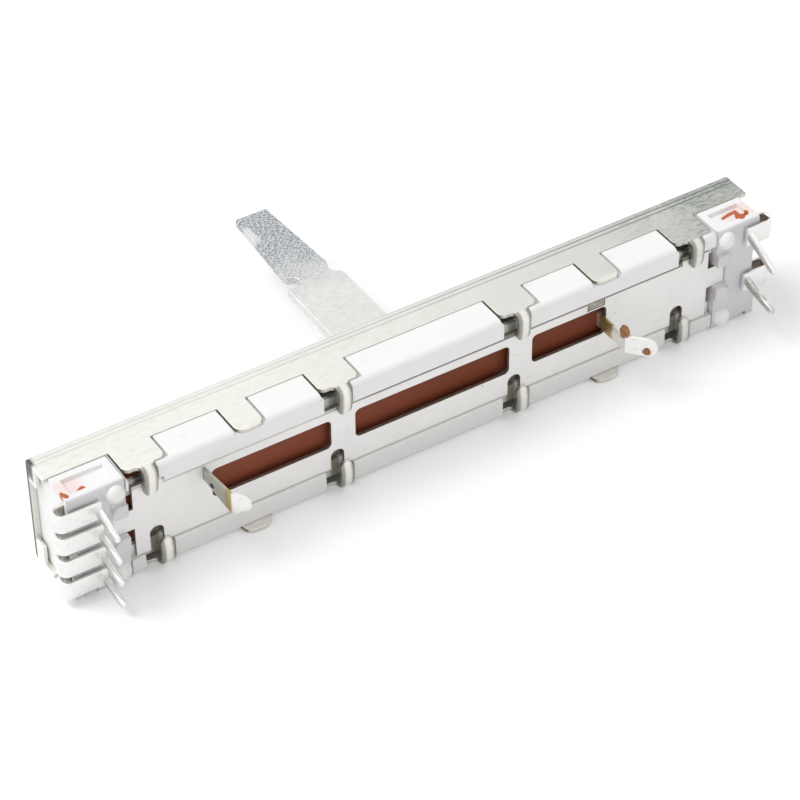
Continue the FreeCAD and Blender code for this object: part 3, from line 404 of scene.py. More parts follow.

# %% [markdown]
# ## White mouldings
# The body is plain white plastic. It is never one flat white: it yellows a little in clouds, handling
# leaves grey grime, made stronger low down as painted shade, and the mould leaves a very fine grain.
# The lower rear strip under the cover gets painted shade. The wells beside the crimp fingers are dark
# with painted shade, as little light gets in. The end blocks are a cooler, milkier plastic, with painted
# shade on their rear faces, and flux has dried in the recess on top of each. Such a stain is a few short
# streaks laid end to end: the distance to a line, with noise added for its ragged rim.

# %% The plastics
def white_plastic():
    """White moulded plastic with warm clouds, grime, and painted shade low down, on the lower rear strip and
    in the wells.
    """
    finish = Finish("white_plastic", (0.93, 0.93, 0.92), 0.4)
    clouds = finish.grain(0.35, 3)
    grime = finish.grain(1.3, 4, (0.4, 1, 1), 5)
    # Painted shade: the grime is made stronger low down.
    low = 1 - finish.z.step(-6.9, -3.0)
    colour = finish.mix(clouds.step(0.45, 0.8) * 0.5, (0.945, 0.945, 0.94), (0.92, 0.91, 0.87))
    colour = finish.mix(grime.step(0.58, 0.75) * (0.25 + low * 0.3), colour, (0.72, 0.70, 0.66))
    # Painted shade on the lower rear strip, under the cover.
    strip = (1 - finish.z.step(-4.4, -3.8)) * (1 - finish.y.step(-7.6, -7.2))
    colour = finish.mix(strip * 0.75, colour, (0.80, 0.78, 0.76))
    # Painted olive shade and darker painted shade in the wells beside the fingers.
    sunk = finish.y.near(-6.6, 1.2, 0.15) * finish.z.size().near(4.6, 1.75, 0.1)
    colour = finish.mix(sunk * at_fingers(finish, -1.6, 0.6, 0.9) * 0.55, colour, (0.34, 0.33, 0.27))
    shade = finish.mix(finish.x.size().step(18, 26), (0.24, 0.235, 0.22), (0.06, 0.045, 0.035))
    shade = finish.mix(finish.z.step(-0.5, 0.5), (0.2, 0.19, 0.14), shade)
    colour = finish.mix(sunk * at_fingers(finish, -0.9, 0.25, 0.6) * 0.9, colour, shade)
    finish.set(Base_Color=colour, Roughness=0.36 + clouds * 0.14)
    finish.bump(finish.grain(6.0, 2), 0.004)
    return finish


def streak(finish, start, end, radius, wobble):
    """A stain along the line between two (x, y) places, with a ragged rim."""
    run = Vector(end) - Vector(start)
    across = (finish.x - start[0], finish.y - start[1])
    reach = (across[0] * run.x + across[1] * run.y) / run.length_squared
    reach = reach.math("MAXIMUM", 0).math("MINIMUM", 1)
    gaps = [gap - reach * part for gap, part in zip(across, run)]
    gap = (gaps[0] * gaps[0] + gaps[1] * gaps[1]).math("SQRT") + (wobble - 0.5) * 0.25
    return 1 - gap.step(radius - 0.06, radius + 0.05)


def block_plastic(name, blush_place, stains, blush):
    """Cool milky plastic, greyer behind as painted shade, with a blush and dried flux in the recess on top.
    """
    finish = Finish(name, (0.8, 0.81, 0.82), 0.38)
    clouds = finish.grain(0.5, 3)
    ragged = finish.grain(1.6, 3, (1, 1, 1), 3)
    colour = finish.mix(clouds * 0.6, (0.94, 0.942, 0.95), (0.89, 0.893, 0.90))
    # Painted shade on the rear face.
    rear = 1 - finish.y.step(-8.15, -7.9)
    colour = finish.mix(rear * (0.6 + clouds * 0.4), colour, (0.69, 0.695, 0.71))
    top = finish.z.step(6.2, 6.35)
    recess = top * finish.x.near(blush_place, 0.9, 1.6) * finish.y.near(-6.2, 0.7, 0.9)
    colour = finish.mix(recess * 0.7, colour, blush)
    bottom = 1 - finish.z.step(-6.9, -4.5)
    colour = finish.mix(bottom * 0.25, colour, (0.66, 0.64, 0.62))
    stain = None
    for start, end, radius in stains:
        one = streak(finish, start, end, radius, ragged)
        stain = one if stain is None else stain.most(one)
    colour = finish.mix(stain * top, colour, finish.mix(ragged, (0.58, 0.15, 0.04), (0.44, 0.08, 0.015)))
    finish.set(Base_Color=colour, Roughness=0.4 - stain * 0.15)
    finish.bump(clouds + stain * top * 2, 0.01)
    return finish


moulded = white_plastic()
RIGHT_STAINS = [((39.35, -6.0), (39.8, -5.85), 0.2), ((39.8, -5.85), (41.2, -5.65), 0.26),
                ((41.1, -5.7), (41.2, -6.4), 0.3), ((41.05, -6.6), (40.95, -7.2), 0.45),
                ((41.2, -6.6), (41.8, -6.8), 0.36)]
LEFT_STAINS = [((-41.45, -7.05), (-41.0, -6.75), 0.32), ((-43.45, -6.9), (-43.15, -7.5), 0.28)]
right_plastic = block_plastic("right_block_plastic", 41.4, RIGHT_STAINS, (0.93, 0.74, 0.70))
left_plastic = block_plastic("left_block_plastic", -42.4, LEFT_STAINS, (0.93, 0.72, 0.68))

# %% The housing and the end blocks
STAKE_PLACE = 38.2
STAKE_HEIGHT = 5.4
REAR_FACE = 8.2
HEAD_START = 0.2
HEAD_LEFT = 0.1
HEAD_SHARE = 0.75
BLOCK_INNER = 37.04
HOUSING_EDGE = 0.05
BLOCK_EDGE = 0.06


def without_heads(place):
    """Sinks the plain heads of the four staked pins to small thin discs, as domes are laid over them."""
    if place.y > -REAR_FACE - HEAD_START:
        return place
    stake = Vector((math.copysign(STAKE_PLACE, place.x), 0, math.copysign(STAKE_HEIGHT, place.z)))
    sunk = stake + (place - stake) * HEAD_SHARE
    sunk.y = -REAR_FACE - HEAD_LEFT
    return sunk


def clear_of_carriage(place):
    """Draws a block's inner face back by a hair, as the carriage comes to rest against it."""
    return Vector((math.copysign(max(abs(place.x), BLOCK_INNER), place.x), place.y, place.z))


softened("housing", "moulded_housing", HOUSING_EDGE, "body", "housing_plastic", [moulded],
         reshape=without_heads)
for side, plastic in (("right", right_plastic), ("left", left_plastic)):
    softened("terminal_block_" + side, "end_block_" + side, BLOCK_EDGE, "body", "block_plastic", [plastic],
             reshape=clear_of_carriage, split=True)

# %% [markdown]
# ## Staked heads
# Four pins of the body pass through the end blocks and are melted over into round domes. They are one
# shape at four places, which is what Geometry Nodes do best: a grid of four points, a sphere squashed
# to a dome on each, and the same finish for all. The grid needs no mesh to start from, so an empty
# object carries the tree.

# %% A small builder for geometry trees
class Geometry:
    """A geometry node tree with named inputs, built as the finishes are."""

    def __init__(self, name, **inputs):
        self.tree = bpy.data.node_groups.new(name, "GeometryNodeTree")
        self.tree.interface.new_socket("Geometry", in_out="INPUT", socket_type="NodeSocketGeometry")
        self.tree.interface.new_socket("Geometry", in_out="OUTPUT", socket_type="NodeSocketGeometry")
        self.names = {}
        for title, start in inputs.items():
            kind = "NodeSocketMaterial" if start is None else "NodeSocketFloat"
            made = self.tree.interface.new_socket(title, in_out="INPUT", socket_type=kind)
            self.names[title] = made.identifier
        self.entry = self.tree.nodes.new("NodeGroupInput")
        self.start = inputs

    def node(self, kind, settings, sockets):
        """Adds a node: its settings first, then its sockets. Returns its first output."""
        made = self.tree.nodes.new(kind)
        for name, value in settings.items():
            setattr(made, name, value)
        for name, value in sockets.items():
            if isinstance(value, bpy.types.NodeSocket):
                self.tree.links.new(value, made.inputs[name])
            else:
                made.inputs[name].default_value = value
        return made.outputs[0]

    def finish(self, shape):
        """Ends the tree: real geometry with its material."""
        real = self.node("GeometryNodeRealizeInstances", {}, {0: shape})
        coated = self.node("GeometryNodeSetMaterial", {},
                           {"Geometry": real, "Material": self.entry.outputs["Material"]})
        leaving = self.tree.nodes.new("NodeGroupOutput")
        self.tree.links.new(coated, leaving.inputs[0])

    def run(self, source, finish, **given):
        """Puts the tree on an object as a modifier and returns the mesh that it makes."""
        modifier = source.modifiers.new("shape", "NODES")
        modifier.node_group = self.tree
        for title, identifier in self.names.items():
            start = given.get(title, self.start[title])
            modifier[identifier] = finish.material if start is None else start
        return as_mesh(source, source.name + "_mesh")


# %% Domes on the four staked pins
DOME = Geometry("staked_domes", Spacing_X=2 * STAKE_PLACE * MM, Spacing_Z=2 * STAKE_HEIGHT * MM,
                Depth=REAR_FACE * MM, Radius=1.12 * MM, Rise=0.9 * MM, Material=None)
given = DOME.entry.outputs
grid = DOME.node("GeometryNodeMeshGrid", {}, {"Size X": given["Spacing_X"], "Size Y": given["Spacing_Z"],
                                              "Vertices X": 2, "Vertices Y": 2})
behind = DOME.node("ShaderNodeMath", {"operation": "MULTIPLY"}, {0: given["Depth"], 1: -1.0})
seat = DOME.node("ShaderNodeCombineXYZ", {}, {"Y": behind})
turned = DOME.node("GeometryNodeTransform", {}, {"Geometry": grid, "Translation": seat,
                                                 "Rotation": (math.radians(90), 0, 0)})
ball = DOME.node("GeometryNodeMeshUVSphere", {}, {"Segments": 28, "Rings": 14, "Radius": 1.0})
squash = DOME.node("ShaderNodeCombineXYZ", {},
                   {"X": given["Radius"], "Y": given["Rise"], "Z": given["Radius"]})
heads = DOME.node("GeometryNodeInstanceOnPoints", {}, {"Points": turned, "Instance": ball, "Scale": squash})
DOME.finish(heads)

seed_mesh = bpy.data.meshes.new("staked_heads")
holder = bpy.data.objects.new("staked_heads", seed_mesh)
bpy.context.scene.collection.objects.link(holder)


def dome_plastic():
    """The same plastic after melting: glossier, and a little creamy."""
    finish = Finish("melted_plastic", (0.93, 0.93, 0.90), 0.3)
    ripple = finish.grain(1.2, 2)
    colour = finish.mix(ripple, (0.96, 0.96, 0.945), (0.92, 0.92, 0.89))
    finish.set(Base_Color=colour, Roughness=0.25 + ripple * 0.2)
    finish.bump(ripple, 0.08)
    return finish


melted = dome_plastic()
dome_mesh = DOME.run(holder, melted)
smooth_faces(dome_mesh, math.radians(60))
add_piece("staked_heads", dome_mesh, "body", "housing_plastic", melted)
print("staked heads:", len(dome_mesh.polygons), "faces")

# %% [markdown]
# ## The tinned cover and the board behind it
# The cover is tinned sheet with a satin, nearly white face. Look closely and it has fine scuffs, a
# few dark specks and darker cut edges round its windows. A painted shadow follows its upper edge,
# under the lip of the pads. Behind the windows lies the phenolic board: a warm reddish brown, slightly
# mottled, with a soft shine. Where it shows in the cover's notches it gets a greyish olive painted
# shade, and along its upper and lower edges a grey painted shade.

# %% The cover and the board
COVER_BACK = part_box("rear_cover")[0].y / MM
COVER_FRONT, COVER_TOP = [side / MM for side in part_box("rear_cover")[1].yz]
COVER_EDGE = 0.08
COVER_STEP = 0.6
COVER_STEP_PLACE = 32.6


def tinned_sheet():
    """Satin tin with scuffs, specks, a dark patch over the right window and a painted shadow along its top.
    """
    finish = Finish("tinned_sheet", (0.86, 0.85, 0.83), 0.48, 0.6)
    clouds = finish.grain(0.22, 2)
    scuff = finish.grain(2.2, 4, (0.35, 1, 1), 7)
    specks = finish.grain(2.0, 1, (1, 1, 1), 21)
    colour = finish.mix(clouds, (0.90, 0.89, 0.87), (0.80, 0.79, 0.77))
    colour = finish.mix(scuff.step(0.6, 0.72) * 0.3, colour, (0.62, 0.60, 0.57))
    colour = finish.mix(specks.step(0.77, 0.8) * 0.6, colour, (0.3, 0.27, 0.24))
    patch = finish.x.near(21.05, 1.1, 0.1) * finish.z.near(3.5, 0.45, 0.1)
    colour = finish.mix(patch * (0.5 + scuff.step(0.4, 0.55) * 0.5), colour, (0.3, 0.29, 0.22))
    # Painted shadow of the pads' lip, along the cover's top edge.
    lift = finish.x.near(0, COVER_STEP_PLACE, 0.05) * COVER_STEP
    rim = (finish.z + lift).step(COVER_TOP - 0.5, COVER_TOP - 0.4)
    colour = finish.mix(rim * (0.35 + 0.5 * finish.x.step(-16, -6)), colour, (0.12, 0.11, 0.1))
    finish.set(Base_Color=colour, Roughness=0.42 + scuff * 0.16)
    finish.bump(clouds * 2 + scuff * 0.4, 0.012)
    return finish


def phenolic():
    """Reddish brown laminate with a paper mottle, and painted shade in the notches and along its edges."""
    finish = Finish("phenolic", (0.2, 0.055, 0.028), 0.5, Specular_IOR_Level=0.12)
    mottle = finish.grain(1.1, 4, (0.5, 1, 1))
    fibres = finish.grain(5.0, 3, (0.2, 1, 1), 4)
    colour = finish.mix(finish.x.step(-14, 4), (0.275, 0.076, 0.04), (0.205, 0.052, 0.026))
    colour = finish.mix(mottle.step(0.3, 0.7) * 0.5, colour, (0.2, 0.058, 0.03))
    colour = finish.mix(fibres.step(0.55, 0.8) * 0.3, colour, (0.28, 0.085, 0.045))
    # Greyish olive painted shade where the board shows in the cover's notches.
    notch_shade = at_fingers(finish, -0.8, 0.9, 0.4) * finish.z.near(-2.9, 1.35, 0.2)
    colour = finish.mix(notch_shade, colour, (0.27, 0.265, 0.2))
    # Grey painted shade along the upper and lower edges, in the gaps by the cover.
    rim = finish.z.size().step(4.0, 4.2) * (1 - finish.x.size().step(33.5, 34.2))
    colour = finish.mix(rim, colour, (0.16, 0.155, 0.14))
    finish.set(Base_Color=colour, Roughness=0.38 + fibres * 0.2)
    finish.bump(fibres, 0.006)
    return finish


def is_cover_edge(middle, normal):
    """True for the cut edges of the cover, its windows among them."""
    return abs(normal.y) < 0.5 and COVER_BACK + 0.05 < middle.y < COVER_FRONT - 0.05


def dress(node, finish):
    """Gives a CAD node's own mesh a finish."""
    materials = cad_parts[node].data.materials
    materials.clear()
    materials.append(finish.material)


softened("rear_cover", "windowed_cover", COVER_EDGE, "body", "cover_tinplate", [tinned_sheet(), cut_edge],
         is_cover_edge)
dress("resistor_board", phenolic())

# %% [markdown]
# ## The lever
# A plain steel blade. Its tip is painted dark as a reflection, over sparkling, granular grit, while the
# wide part near the body is a paler, warmer grey with soft ripples. One mask along its length does both,
# and a small one leaves a paler spot near the tip. The outline, with the notches of the neck, is a list
# of corners: the left side from the tip down, then the right side from the foot up.

# %% The lever
def lever_steel():
    """A blade that is coarse at its tip, painted dark there as a reflection, and pale near the body."""
    finish = Finish("lever_steel", (0.7, 0.7, 0.69), 0.45, 0.7)
    clouds = finish.grain(0.4, 3)
    # The dark tip is a painted reflection, over the blade's own grit.
    tip = (finish.y + clouds * 7 - 3.5).step(12.5, 23)
    grit = finish.grain(4.2, 4, (1, 1, 1), 9)
    ripple = finish.grain(1.3, 3, (1, 1.6, 1), 2)
    pale = finish.mix(ripple.step(0.4, 0.7) * 0.5, (0.80, 0.79, 0.77), (0.68, 0.67, 0.65))
    dark = finish.mix(grit.step(0.38, 0.62), (0.25, 0.27, 0.29), (0.66, 0.68, 0.70))
    pale_spot = finish.x.near(-2.6, 0.4, 0.5) * finish.y.near(26.5, 1.0, 1.2)
    colour = finish.mix(tip * (1 - pale_spot * 0.8), pale, dark)
    finish.set(Base_Color=colour, Roughness=0.4 + tip * 0.12)
    finish.bump(grit * tip * 1.5 + ripple * (1 - tip), 0.03)
    return finish


# %% The lever's outline
LEVER_LEFT = [(-2.5, 30.0), (-3.2, 18.1), (-3.0, 17.6), (-2.15, 17.25), (-2.0, 16.6), (-2.1, 15.9),
              (-4.0, 15.75), (-4.0, -1.7), (-5.2, -1.7), (-5.2, -3.6)]
LEVER_RIGHT = [(4.2, -3.6), (4.2, -1.7), (3.0, -1.7), (3.0, 15.1), (2.9, 15.5), (2.65, 15.75), (2.2, 15.9),
               (1.95, 16.4), (1.95, 16.9), (2.2, 17.5), (2.3, 18.1), (1.5, 30.0)]
LEVER_THICK = 1.0
LEVER_EDGE = 0.12


def extruded(name, outline, thickness):
    """A plate with an outline of (x, y) places, half its thickness on each side of z = 0."""
    work = bmesh.new()
    lower = work.faces.new([work.verts.new(Vector((x, y, -thickness / 2)) * MM) for x, y in outline])
    grown = bmesh.ops.extrude_face_region(work, geom=[lower])["geom"]
    raised = [part for part in grown if isinstance(part, bmesh.types.BMVert)]
    bmesh.ops.translate(work, verts=raised, vec=Vector((0, 0, thickness * MM)))
    bmesh.ops.recalc_face_normals(work, faces=work.faces)
    mesh = bpy.data.meshes.new(name)
    work.to_mesh(mesh)
    work.free()
    return mesh


lever_plate = extruded("lever_plate", LEVER_LEFT + LEVER_RIGHT, LEVER_THICK)
rounded_piece(lever_plate, "steel_lever", LEVER_EDGE, "slider", "lever_steel", [lever_steel()], "lever")

# %% [markdown]
# ## Folded terminals
# Each terminal is a strip that leaves the end block, folds back round its corner, and ends in a pin.
# A strip with round folds is a path and a profile, so a geometry tree rounds the corners of a poly
# curve and sweeps a rectangle along it. The pin is a channel that narrows to a round tip: its
# section is drawn once and lofted from root to tip. It starts a little inside the strip, so that the
# two look like one. What differs between the ends of the part is kept by hand: -1 for the left end
# and 1 for the right.

# %% The tree that folds a strip
STRIP_WIDTHS = {-1: 2.2, 1: 2.4}
STRIP_THICK = 0.4
STRIP_BEND = 0.72
STRIP_CORNER = 0.12
FOLD = Geometry("folded_strip", Width=0.0, Thickness=STRIP_THICK * MM, Bend=STRIP_BEND * MM,
                Material=None)
given = FOLD.entry.outputs
rounded = FOLD.node("GeometryNodeFilletCurve", {"mode": "POLY"},
                    {"Curve": given["Geometry"], "Radius": given["Bend"], "Limit Radius": True, "Count": 10})
level = FOLD.node("GeometryNodeSetCurveNormal", {"mode": "Z_UP"}, {"Curve": rounded})
section = FOLD.node("GeometryNodeCurvePrimitiveQuadrilateral", {"mode": "RECTANGLE"},
                    {"Width": given["Thickness"], "Height": given["Width"]})
eased = FOLD.node("GeometryNodeFilletCurve", {"mode": "POLY"},
                  {"Curve": section, "Radius": STRIP_CORNER * MM, "Limit Radius": True, "Count": 3})
swept = FOLD.node("GeometryNodeCurveToMesh", {},
                  {"Curve": level, "Profile Curve": eased, "Fill Caps": True})
FOLD.finish(swept)


def folded_strip(name, points, width, finish):
    """A strip folded along a path of points, in millimetres."""
    line = bpy.data.curves.new(name, "CURVE")
    line.dimensions = "3D"
    spline = line.splines.new("POLY")
    spline.points.add(len(points) - 1)
    for knot, point in zip(spline.points, points):
        knot.co = (*(Vector(point) * MM), 1)
    maker = bpy.data.objects.new(name, line)
    bpy.context.scene.collection.objects.link(maker)
    return FOLD.run(maker, finish, Width=width * MM)


# %% The pin: a channel lofted from its root to a round tip
SECTION_POINTS = 20
FLAT_SIDES = 0.12
GROOVE_DEPTH = 0.2
GROOVE_ANGLE = 0.42
PIN_GIRTHS = ((0, 0.9), (0.06, 1.08), (0.2, 1.12), (0.5, 1.02), (0.85, 0.92), (0.94, 0.86), (0.98, 0.68),
              (1.0, 0.4))


def channel_section(half_width, half_height, groove):
    """A rounded section with a groove down its upper side."""
    outline = []
    for step in range(SECTION_POINTS):
        turn = math.tau * step / SECTION_POINTS
        a, b = math.cos(turn), math.sin(turn)
        dip = groove * math.exp(-((turn - math.pi / 2) / GROOVE_ANGLE) ** 2)
        outline.append((half_width * a * (1 - FLAT_SIDES * a * a), (half_height - dip) * b))
    return outline


def loft(name, stations):
    """A closed mesh through sections. A station is a place, a side and an up vector, and an outline."""
    work = bmesh.new()
    rings = []
    for place, side, up, outline in stations:
        rings.append([work.verts.new((place + side * a + up * b) * MM) for a, b in outline])
    for here, there in zip(rings, rings[1:]):
        for i in range(len(here)):
            j = (i + 1) % len(here)
            work.faces.new((here[i], here[j], there[j], there[i]))
    work.faces.new(reversed(rings[0]))
    work.faces.new(rings[-1])
    bmesh.ops.recalc_face_normals(work, faces=work.faces)
    mesh = bpy.data.meshes.new(name)
    work.to_mesh(mesh)
    work.free()
    return mesh


def pin_mesh(name, root, tip, half_width, half_height):
    """A pin with a groove that fades towards its rounded tip, between two points in millimetres."""
    root, tip = Vector(root), Vector(tip)
    along = (tip - root).normalized()
    side = along.cross(Vector((0, 0, 1))).normalized()
    up = side.cross(along)
    length = (tip - root).length
    stations = []
    for reach, girth in PIN_GIRTHS:
        groove = GROOVE_DEPTH * (1 - reach ** 3)
        outline = [(a * girth, b * girth) for a, b in channel_section(half_width, half_height, groove)]
        stations.append((root + along * length * reach, side, up, outline))
    return loft(name, stations)


def join_meshes(name, meshes):
    """One mesh out of several."""
    work = bmesh.new()
    for mesh in meshes:
        work.from_mesh(mesh)
    joined = bpy.data.meshes.new(name)
    work.to_mesh(joined)
    work.free()
    return joined


# %% The six terminals
PIN_PLACES = {-1: 40.4, 1: 41.0}
PIN_LENGTHS = {-1: 4.5, 1: 5.6}
PIN_RISES = {-1: 0.0, 1: 0.5}
PIN_HALF_WIDTH = 0.42
PIN_HALF_HEIGHT = 0.56
PIN_SUNK = 0.15
STRIP_PAST_PIN = 0.35


def terminal_tin():
    """Bright tin with dull patches, brown painted shade inside the folds, and painted shade on the sides of
    the pins.
    """
    finish = Finish("terminal_tin", (0.84, 0.84, 0.81), 0.32, 0.85)
    worn = finish.grain(1.8, 3, (1, 0.5, 1))
    dull = finish.grain(0.6, 2, (1, 1, 1), 8)
    colour = finish.mix(worn.step(0.5, 0.85) * 0.45, (0.88, 0.88, 0.86), (0.55, 0.54, 0.48))
    # Brown painted shade inside the folds.
    fold_shade = finish.x.size().near(42.7, 1.3, 0.1) * finish.y.near(-7.85, 0.62, 0.08)
    colour = finish.mix(fold_shade * 0.75, colour, (0.3, 0.22, 0.15))
    for hand, place in PIN_PLACES.items():
        along_pin = (1 - finish.y.step(-9.3, -8.9)) * (finish.x * hand).step(20, 21)
        # Painted shade on the sides of each pin.
        flanks = along_pin * (finish.x * hand - place).size().step(0.16, 0.42)
        colour = finish.mix(flanks * 0.65, colour, (0.36, 0.355, 0.32))
    # The loop ends on the right pins. The lower one of them is also darker and olive on top, in patches.
    grooved = along_pin * (1 - finish.z.step(0.6, 1.2))
    colour = finish.mix(grooved * worn.step(0.35, 0.6) * 0.6, colour, (0.36, 0.36, 0.31))
    finish.set(Base_Color=colour, Roughness=0.26 + dull * 0.2)
    finish.bump(worn, 0.02)
    return finish


BOARD_REAR = 6.8
FOLD_DEPTH = 2.1
terminal_finish = terminal_tin()


def terminal(node, droop):
    """Strip and pin of one terminal, at the height of its CAD node. The pin droops by some degrees."""
    low, high = [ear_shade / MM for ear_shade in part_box(node)]
    hand = 1 if low.x > 0 else -1
    width = STRIP_WIDTHS[hand]
    place = PIN_PLACES[hand]
    outer = max(abs(low.x), abs(high.x)) - STRIP_THICK / 2
    inner = min(abs(low.x), abs(high.x))
    height = high.z - width / 2
    front = -BOARD_REAR - STRIP_THICK / 2
    rear = -BOARD_REAR - FOLD_DEPTH + STRIP_THICK / 2
    path = [(hand * inner, front, height), (hand * outer, front, height), (hand * outer, rear, height),
            (hand * (place - STRIP_PAST_PIN), rear, height)]
    strip = folded_strip(node, path, width, terminal_finish)
    fall = math.radians(droop)
    root = Vector((hand * place, rear + PIN_SUNK, height + PIN_RISES[hand]))
    tip = root + Vector((0, -math.cos(fall), -math.sin(fall))) * PIN_LENGTHS[hand]
    pin = pin_mesh(node + "_pin", root, tip, PIN_HALF_WIDTH, PIN_HALF_HEIGHT)
    mesh = join_meshes("folded_" + node, [strip, pin])
    smooth_faces(mesh, math.radians(40))
    piece = add_piece("folded_" + node, mesh, "body", "terminal_tin", terminal_finish)
    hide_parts(node)
    return piece


DROOPS = {"terminal_left_1": 11, "terminal_left_2": 11, "terminal_left_3": 11, "terminal_left_4": 11,
          "terminal_right_1": 26, "terminal_right_2": 14}
terminals = [terminal(node, droop) for node, droop in DROOPS.items()]
print("terminals:", len(terminals), "with", len(terminals[0].data.polygons), "faces each")

# %% [markdown]
# ## Solder lugs
# Two lugs reach out of the outer windows, each with an eye for a wire. The right one keeps its CAD
# shape and gets soft edges. The left one was bent, so it is lofted along a path, and its hole is a
# dark spot of painted shade in the finish, beside a painted shadow where the strip leaves the cover.
# Soldering left amber stains on both, and on the right one also a bead of dried flux on the fold and a
# drop of it in the eye. A lump is a ball of small triangles that noise pushes in and out.

# %% The finishes of the lugs and the flux
def lug_tin():
    """Tin, stained amber at the right lug's root and the left one's fold. The left strip is darker and
    olive, with a painted hole and a painted shadow at its start.
    """
    finish = Finish("lug_tin", (0.84, 0.83, 0.8), 0.34, 0.75)
    worn = finish.grain(1.6, 3)
    colour = finish.mix(worn.step(0.5, 0.8) * 0.5, (0.88, 0.87, 0.84), (0.62, 0.60, 0.52))
    right = finish.x.step(-1, 1)
    root = (finish.y + worn * 0.8).near(-8.1, 0.9, 0.5) * right
    strip = finish.y.step(-11.7, -11.3) * (1 - right)
    colour = finish.mix(strip * 0.85, colour, finish.mix(worn, (0.5, 0.5, 0.43), (0.3, 0.29, 0.23)))
    # A painted dark hole, and a painted shadow where the strip leaves the cover.
    off = (finish.y + 9.3, finish.z - 2.15)
    hole = strip * (1 - (off[0] * off[0] + off[1] * off[1]).math("SQRT").step(0.28, 0.4))
    start = strip * finish.y.step(-8.2, -7.8)
    colour = finish.mix(hole.most(start * 0.8), colour, (0.06, 0.05, 0.035))
    fold = finish.y.near(-11.75, 0.25, 0.25) * (1 - right)
    colour = finish.mix((root * 0.85).most(fold * 0.85), colour, (0.42, 0.3, 0.06))
    finish.set(Base_Color=colour, Roughness=0.3 + worn * 0.2)
    finish.bump(worn, 0.02)
    return finish


def dried_flux():
    """Amber resin, glossy and half clear."""
    finish = Finish("dried_flux", (0.55, 0.2, 0.03), 0.2, Coat_Weight=0.5, Transmission_Weight=0.15)
    cloud = finish.grain(2.0, 3)
    finish.set(Base_Color=finish.mix(cloud, (0.15, 0.035, 0.004), (0.46, 0.18, 0.02)))
    return finish


lug_finish = lug_tin()
flux = dried_flux()

# %% The right lug keeps its CAD shape
LUG_EDGE = 0.07
softened("solder_lug_right", "soft_lug_right", LUG_EDGE, "body", "terminal_tin", [lug_finish])

# %% The left lug is a ribbon that widens to its fold
LUG_PATH = [((-27.95, -7.3, 2.95), 1.6), ((-27.8, -8.3, 2.8), 1.75), ((-27.45, -10.2, 2.2), 2.3),
            ((-27.12, -11.8, 1.65), 2.8), ((-26.95, -12.15, 1.55), 2.8), ((-26.3, -12.5, 1.5), 2.5),
            ((-25.7, -12.9, 1.45), 2.0), ((-25.35, -13.1, 1.45), 1.1)]
LUG_THICK = 0.35
RIBBON_SECTION = ((1, -0.9), (1, 0), (1, 0.9), (0.5, 1), (-0.5, 1), (-1, 0.9), (-1, 0), (-1, -0.9),
                  (-0.5, -1), (0.5, -1))


def ribbon(name, path, thickness):
    """A closed strip that stands upright along a path. Each step is a place and a height."""
    upright = Vector((0, 0, 1))
    stations = []
    places = [Vector(place) for place, height in path]
    heights = [height for place, height in path]
    for index, height in enumerate(heights):
        along = places[min(index + 1, len(places) - 1)] - places[max(index - 1, 0)]
        side = along.cross(upright).normalized()
        outline = [(thickness / 2 * a, height / 2 * b) for a, b in RIBBON_SECTION]
        stations.append((places[index], side, upright, outline))
    return loft(name, stations)


lug_mesh = ribbon("soft_lug_left", LUG_PATH, LUG_THICK)
smooth_faces(lug_mesh, math.radians(40))
lug_left = add_piece("soft_lug_left", lug_mesh, "body", "terminal_tin", lug_finish)
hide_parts("solder_lug_left")
print("left lug:", len(lug_mesh.polygons), "faces")

# %% A bead and a drop of flux on the right lug
LUMPS = 0.25
LUMP_SCALE = 1.7


def bead(name, middle, radii, finish):
    """Makes a lumpy drop round a point, in millimetres."""
    work = bmesh.new()
    bmesh.ops.create_icosphere(work, subdivisions=4, radius=1.0)
    for point in work.verts:
        swell = 1 + LUMPS * noise.noise(point.co * LUMP_SCALE + Vector(middle))
        point.co = Vector([m + r * c * swell for m, r, c in zip(middle, radii, point.co)]) * MM
    mesh = bpy.data.meshes.new(name)
    work.to_mesh(mesh)
    work.free()
    smooth_faces(mesh, math.radians(80))
    add_piece(name, mesh, "body", "terminal_tin", finish)


bead("flux_bead", (22.2, -11.7, 1.8), (0.52, 0.7, 0.78), flux)
bead("flux_drop", (23.7, -13.8, -0.15), (0.38, 0.38, 0.4), flux)

# %% [markdown]
# ## What is seen only through the gaps
# The carriage, wipers, tracks and eyelets are nearly hidden, but they show through the lever's slot
# and in other views. They keep their CAD shapes and get plain finishes: dark moulded plastic, matt
# carbon, brass and bronze, each with one cloud of noise.

# %% The inner finishes
def simple_finish(name, dark, light, roughness, metallic, scale):
    """A finish with one cloud between two tones."""
    finish = Finish(name, dark, roughness, metallic)
    cloud = finish.grain(scale, 3)
    finish.set(Base_Color=finish.mix(cloud, dark, light), Roughness=roughness - 0.08 + cloud * 0.16)
    finish.bump(cloud, 0.01)
    return finish


carriage_finish = simple_finish("carriage_plastic", (0.04, 0.04, 0.045), (0.09, 0.09, 0.1), 0.45, 0.0, 1.2)
carbon_finish = simple_finish("carbon_track", (0.02, 0.02, 0.02), (0.05, 0.05, 0.05), 0.6, 0.0, 3.0)
brass_finish = simple_finish("eyelet_brass", (0.55, 0.42, 0.2), (0.78, 0.64, 0.38), 0.32, 0.9, 1.5)
bronze_finish = simple_finish("spring_bronze", (0.55, 0.33, 0.16), (0.75, 0.5, 0.28), 0.3, 0.9, 2.0)
INNER = {"carriage": carriage_finish, "board_eyelets": brass_finish, "drag_spring": bronze_finish,
         "wiper_upper": bronze_finish, "wiper_lower": bronze_finish,
         "resistive_track_upper": carbon_finish, "resistive_track_lower": carbon_finish,
         "collector_track_upper": carbon_finish, "collector_track_lower": carbon_finish}
for node, finish in INNER.items():
    dress(node, finish)
print("inner pieces:", len(INNER))

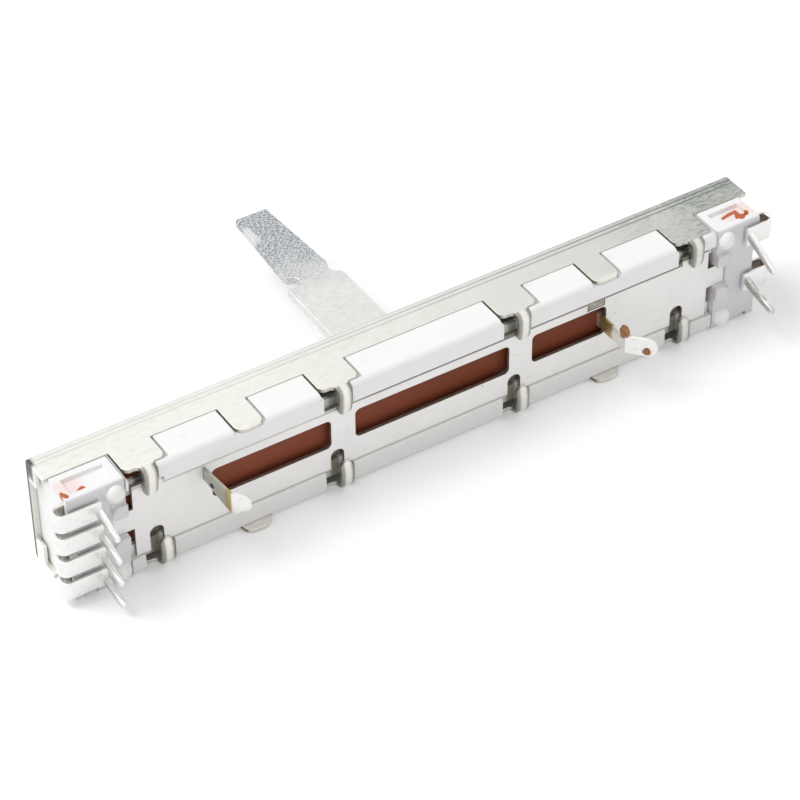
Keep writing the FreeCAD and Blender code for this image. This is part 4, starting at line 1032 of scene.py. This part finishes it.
# %% [markdown]
# ## Floor and light
# The photograph is a plain white table under broad soft light, with the brightest light from above
# and the left. The world gives an even base, one large lamp gives direction, and a weak one lifts the
# shades on the camera's side. The floor is a pale sheet that glows a little, but only for the camera
# and in reflections: it looks white, and the soft shadow stays. Floor and lamps are sized in metres.

# %% The floor
FLOOR_HALF = 3.0
PAPER_GLOW = 0.16
RAYS = ("Is Camera Ray", "Is Glossy Ray", "Is Transmission Ray")
floor_z = cad_low.z
floor_mesh = bpy.data.meshes.new("floor")
corners = [(FLOOR_HALF * x, FLOOR_HALF * y, floor_z) for x, y in ((-1, -1), (1, -1), (1, 1), (-1, 1))]
floor_mesh.from_pydata(corners, [], [(0, 1, 2, 3)])
floor = bpy.data.objects.new("floor", floor_mesh)
bpy.context.scene.collection.objects.link(floor)

paper = Finish("paper", (0.92, 0.92, 0.93), 0.9, Specular_IOR_Level=0.1)
rays = [paper.node("ShaderNodeLightPath", {}, {}, kind) for kind in RAYS]
seen = rays[0].most(rays[1]).most(rays[2])
paper.set(Emission_Color=(1.0, 1.0, 1.0), Emission_Strength=seen * PAPER_GLOW)
floor_mesh.materials.append(paper.material)
print("floor at", round(floor_z / MM, 1), "mm")

# %% The world
SKY_LIGHT = 0.62
SKY_SEEN = 1.0

world = bpy.data.worlds.new("studio")
bpy.context.scene.world = world
world.use_nodes = True
sky = world.node_tree.nodes["Background"]
sky.inputs["Color"].default_value = (1, 1, 1, 1)
wire = world.node_tree.links.new
light_path = world.node_tree.nodes.new("ShaderNodeLightPath")
seen_by = light_path.outputs[RAYS[0]]
for kind in RAYS[1:]:
    either = world.node_tree.nodes.new("ShaderNodeMath")
    either.operation = "MAXIMUM"
    wire(seen_by, either.inputs[0])
    wire(light_path.outputs[kind], either.inputs[1])
    seen_by = either.outputs[0]
blend = world.node_tree.nodes.new("ShaderNodeMapRange")
blend.inputs["To Min"].default_value = SKY_LIGHT
blend.inputs["To Max"].default_value = SKY_SEEN
wire(seen_by, blend.inputs["Value"])
wire(blend.outputs[0], sky.inputs["Strength"])


# %% The lamps
def lamp(name, place, size, level):
    """Adds a square lamp that gives about `level` of white on a surface at the middle that faces it."""
    data = bpy.data.lights.new(name, "AREA")
    data.size = size
    at = Vector(place)
    data.energy = level * math.pi ** 2 * at.length_squared
    made = bpy.data.objects.new(name, data)
    bpy.context.scene.collection.objects.link(made)
    made.location = at
    made.rotation_mode = "QUATERNION"
    made.rotation_quaternion = (-at).to_track_quat("-Z", "Y")
    print(name, "gives", round(data.energy, 2), "W")


lamp("key_lamp", (-0.45, 0.25, 0.75), 0.5, 0.5)
lamp("fill_lamp", (0.1, -0.9, 0.35), 0.8, 0.05)
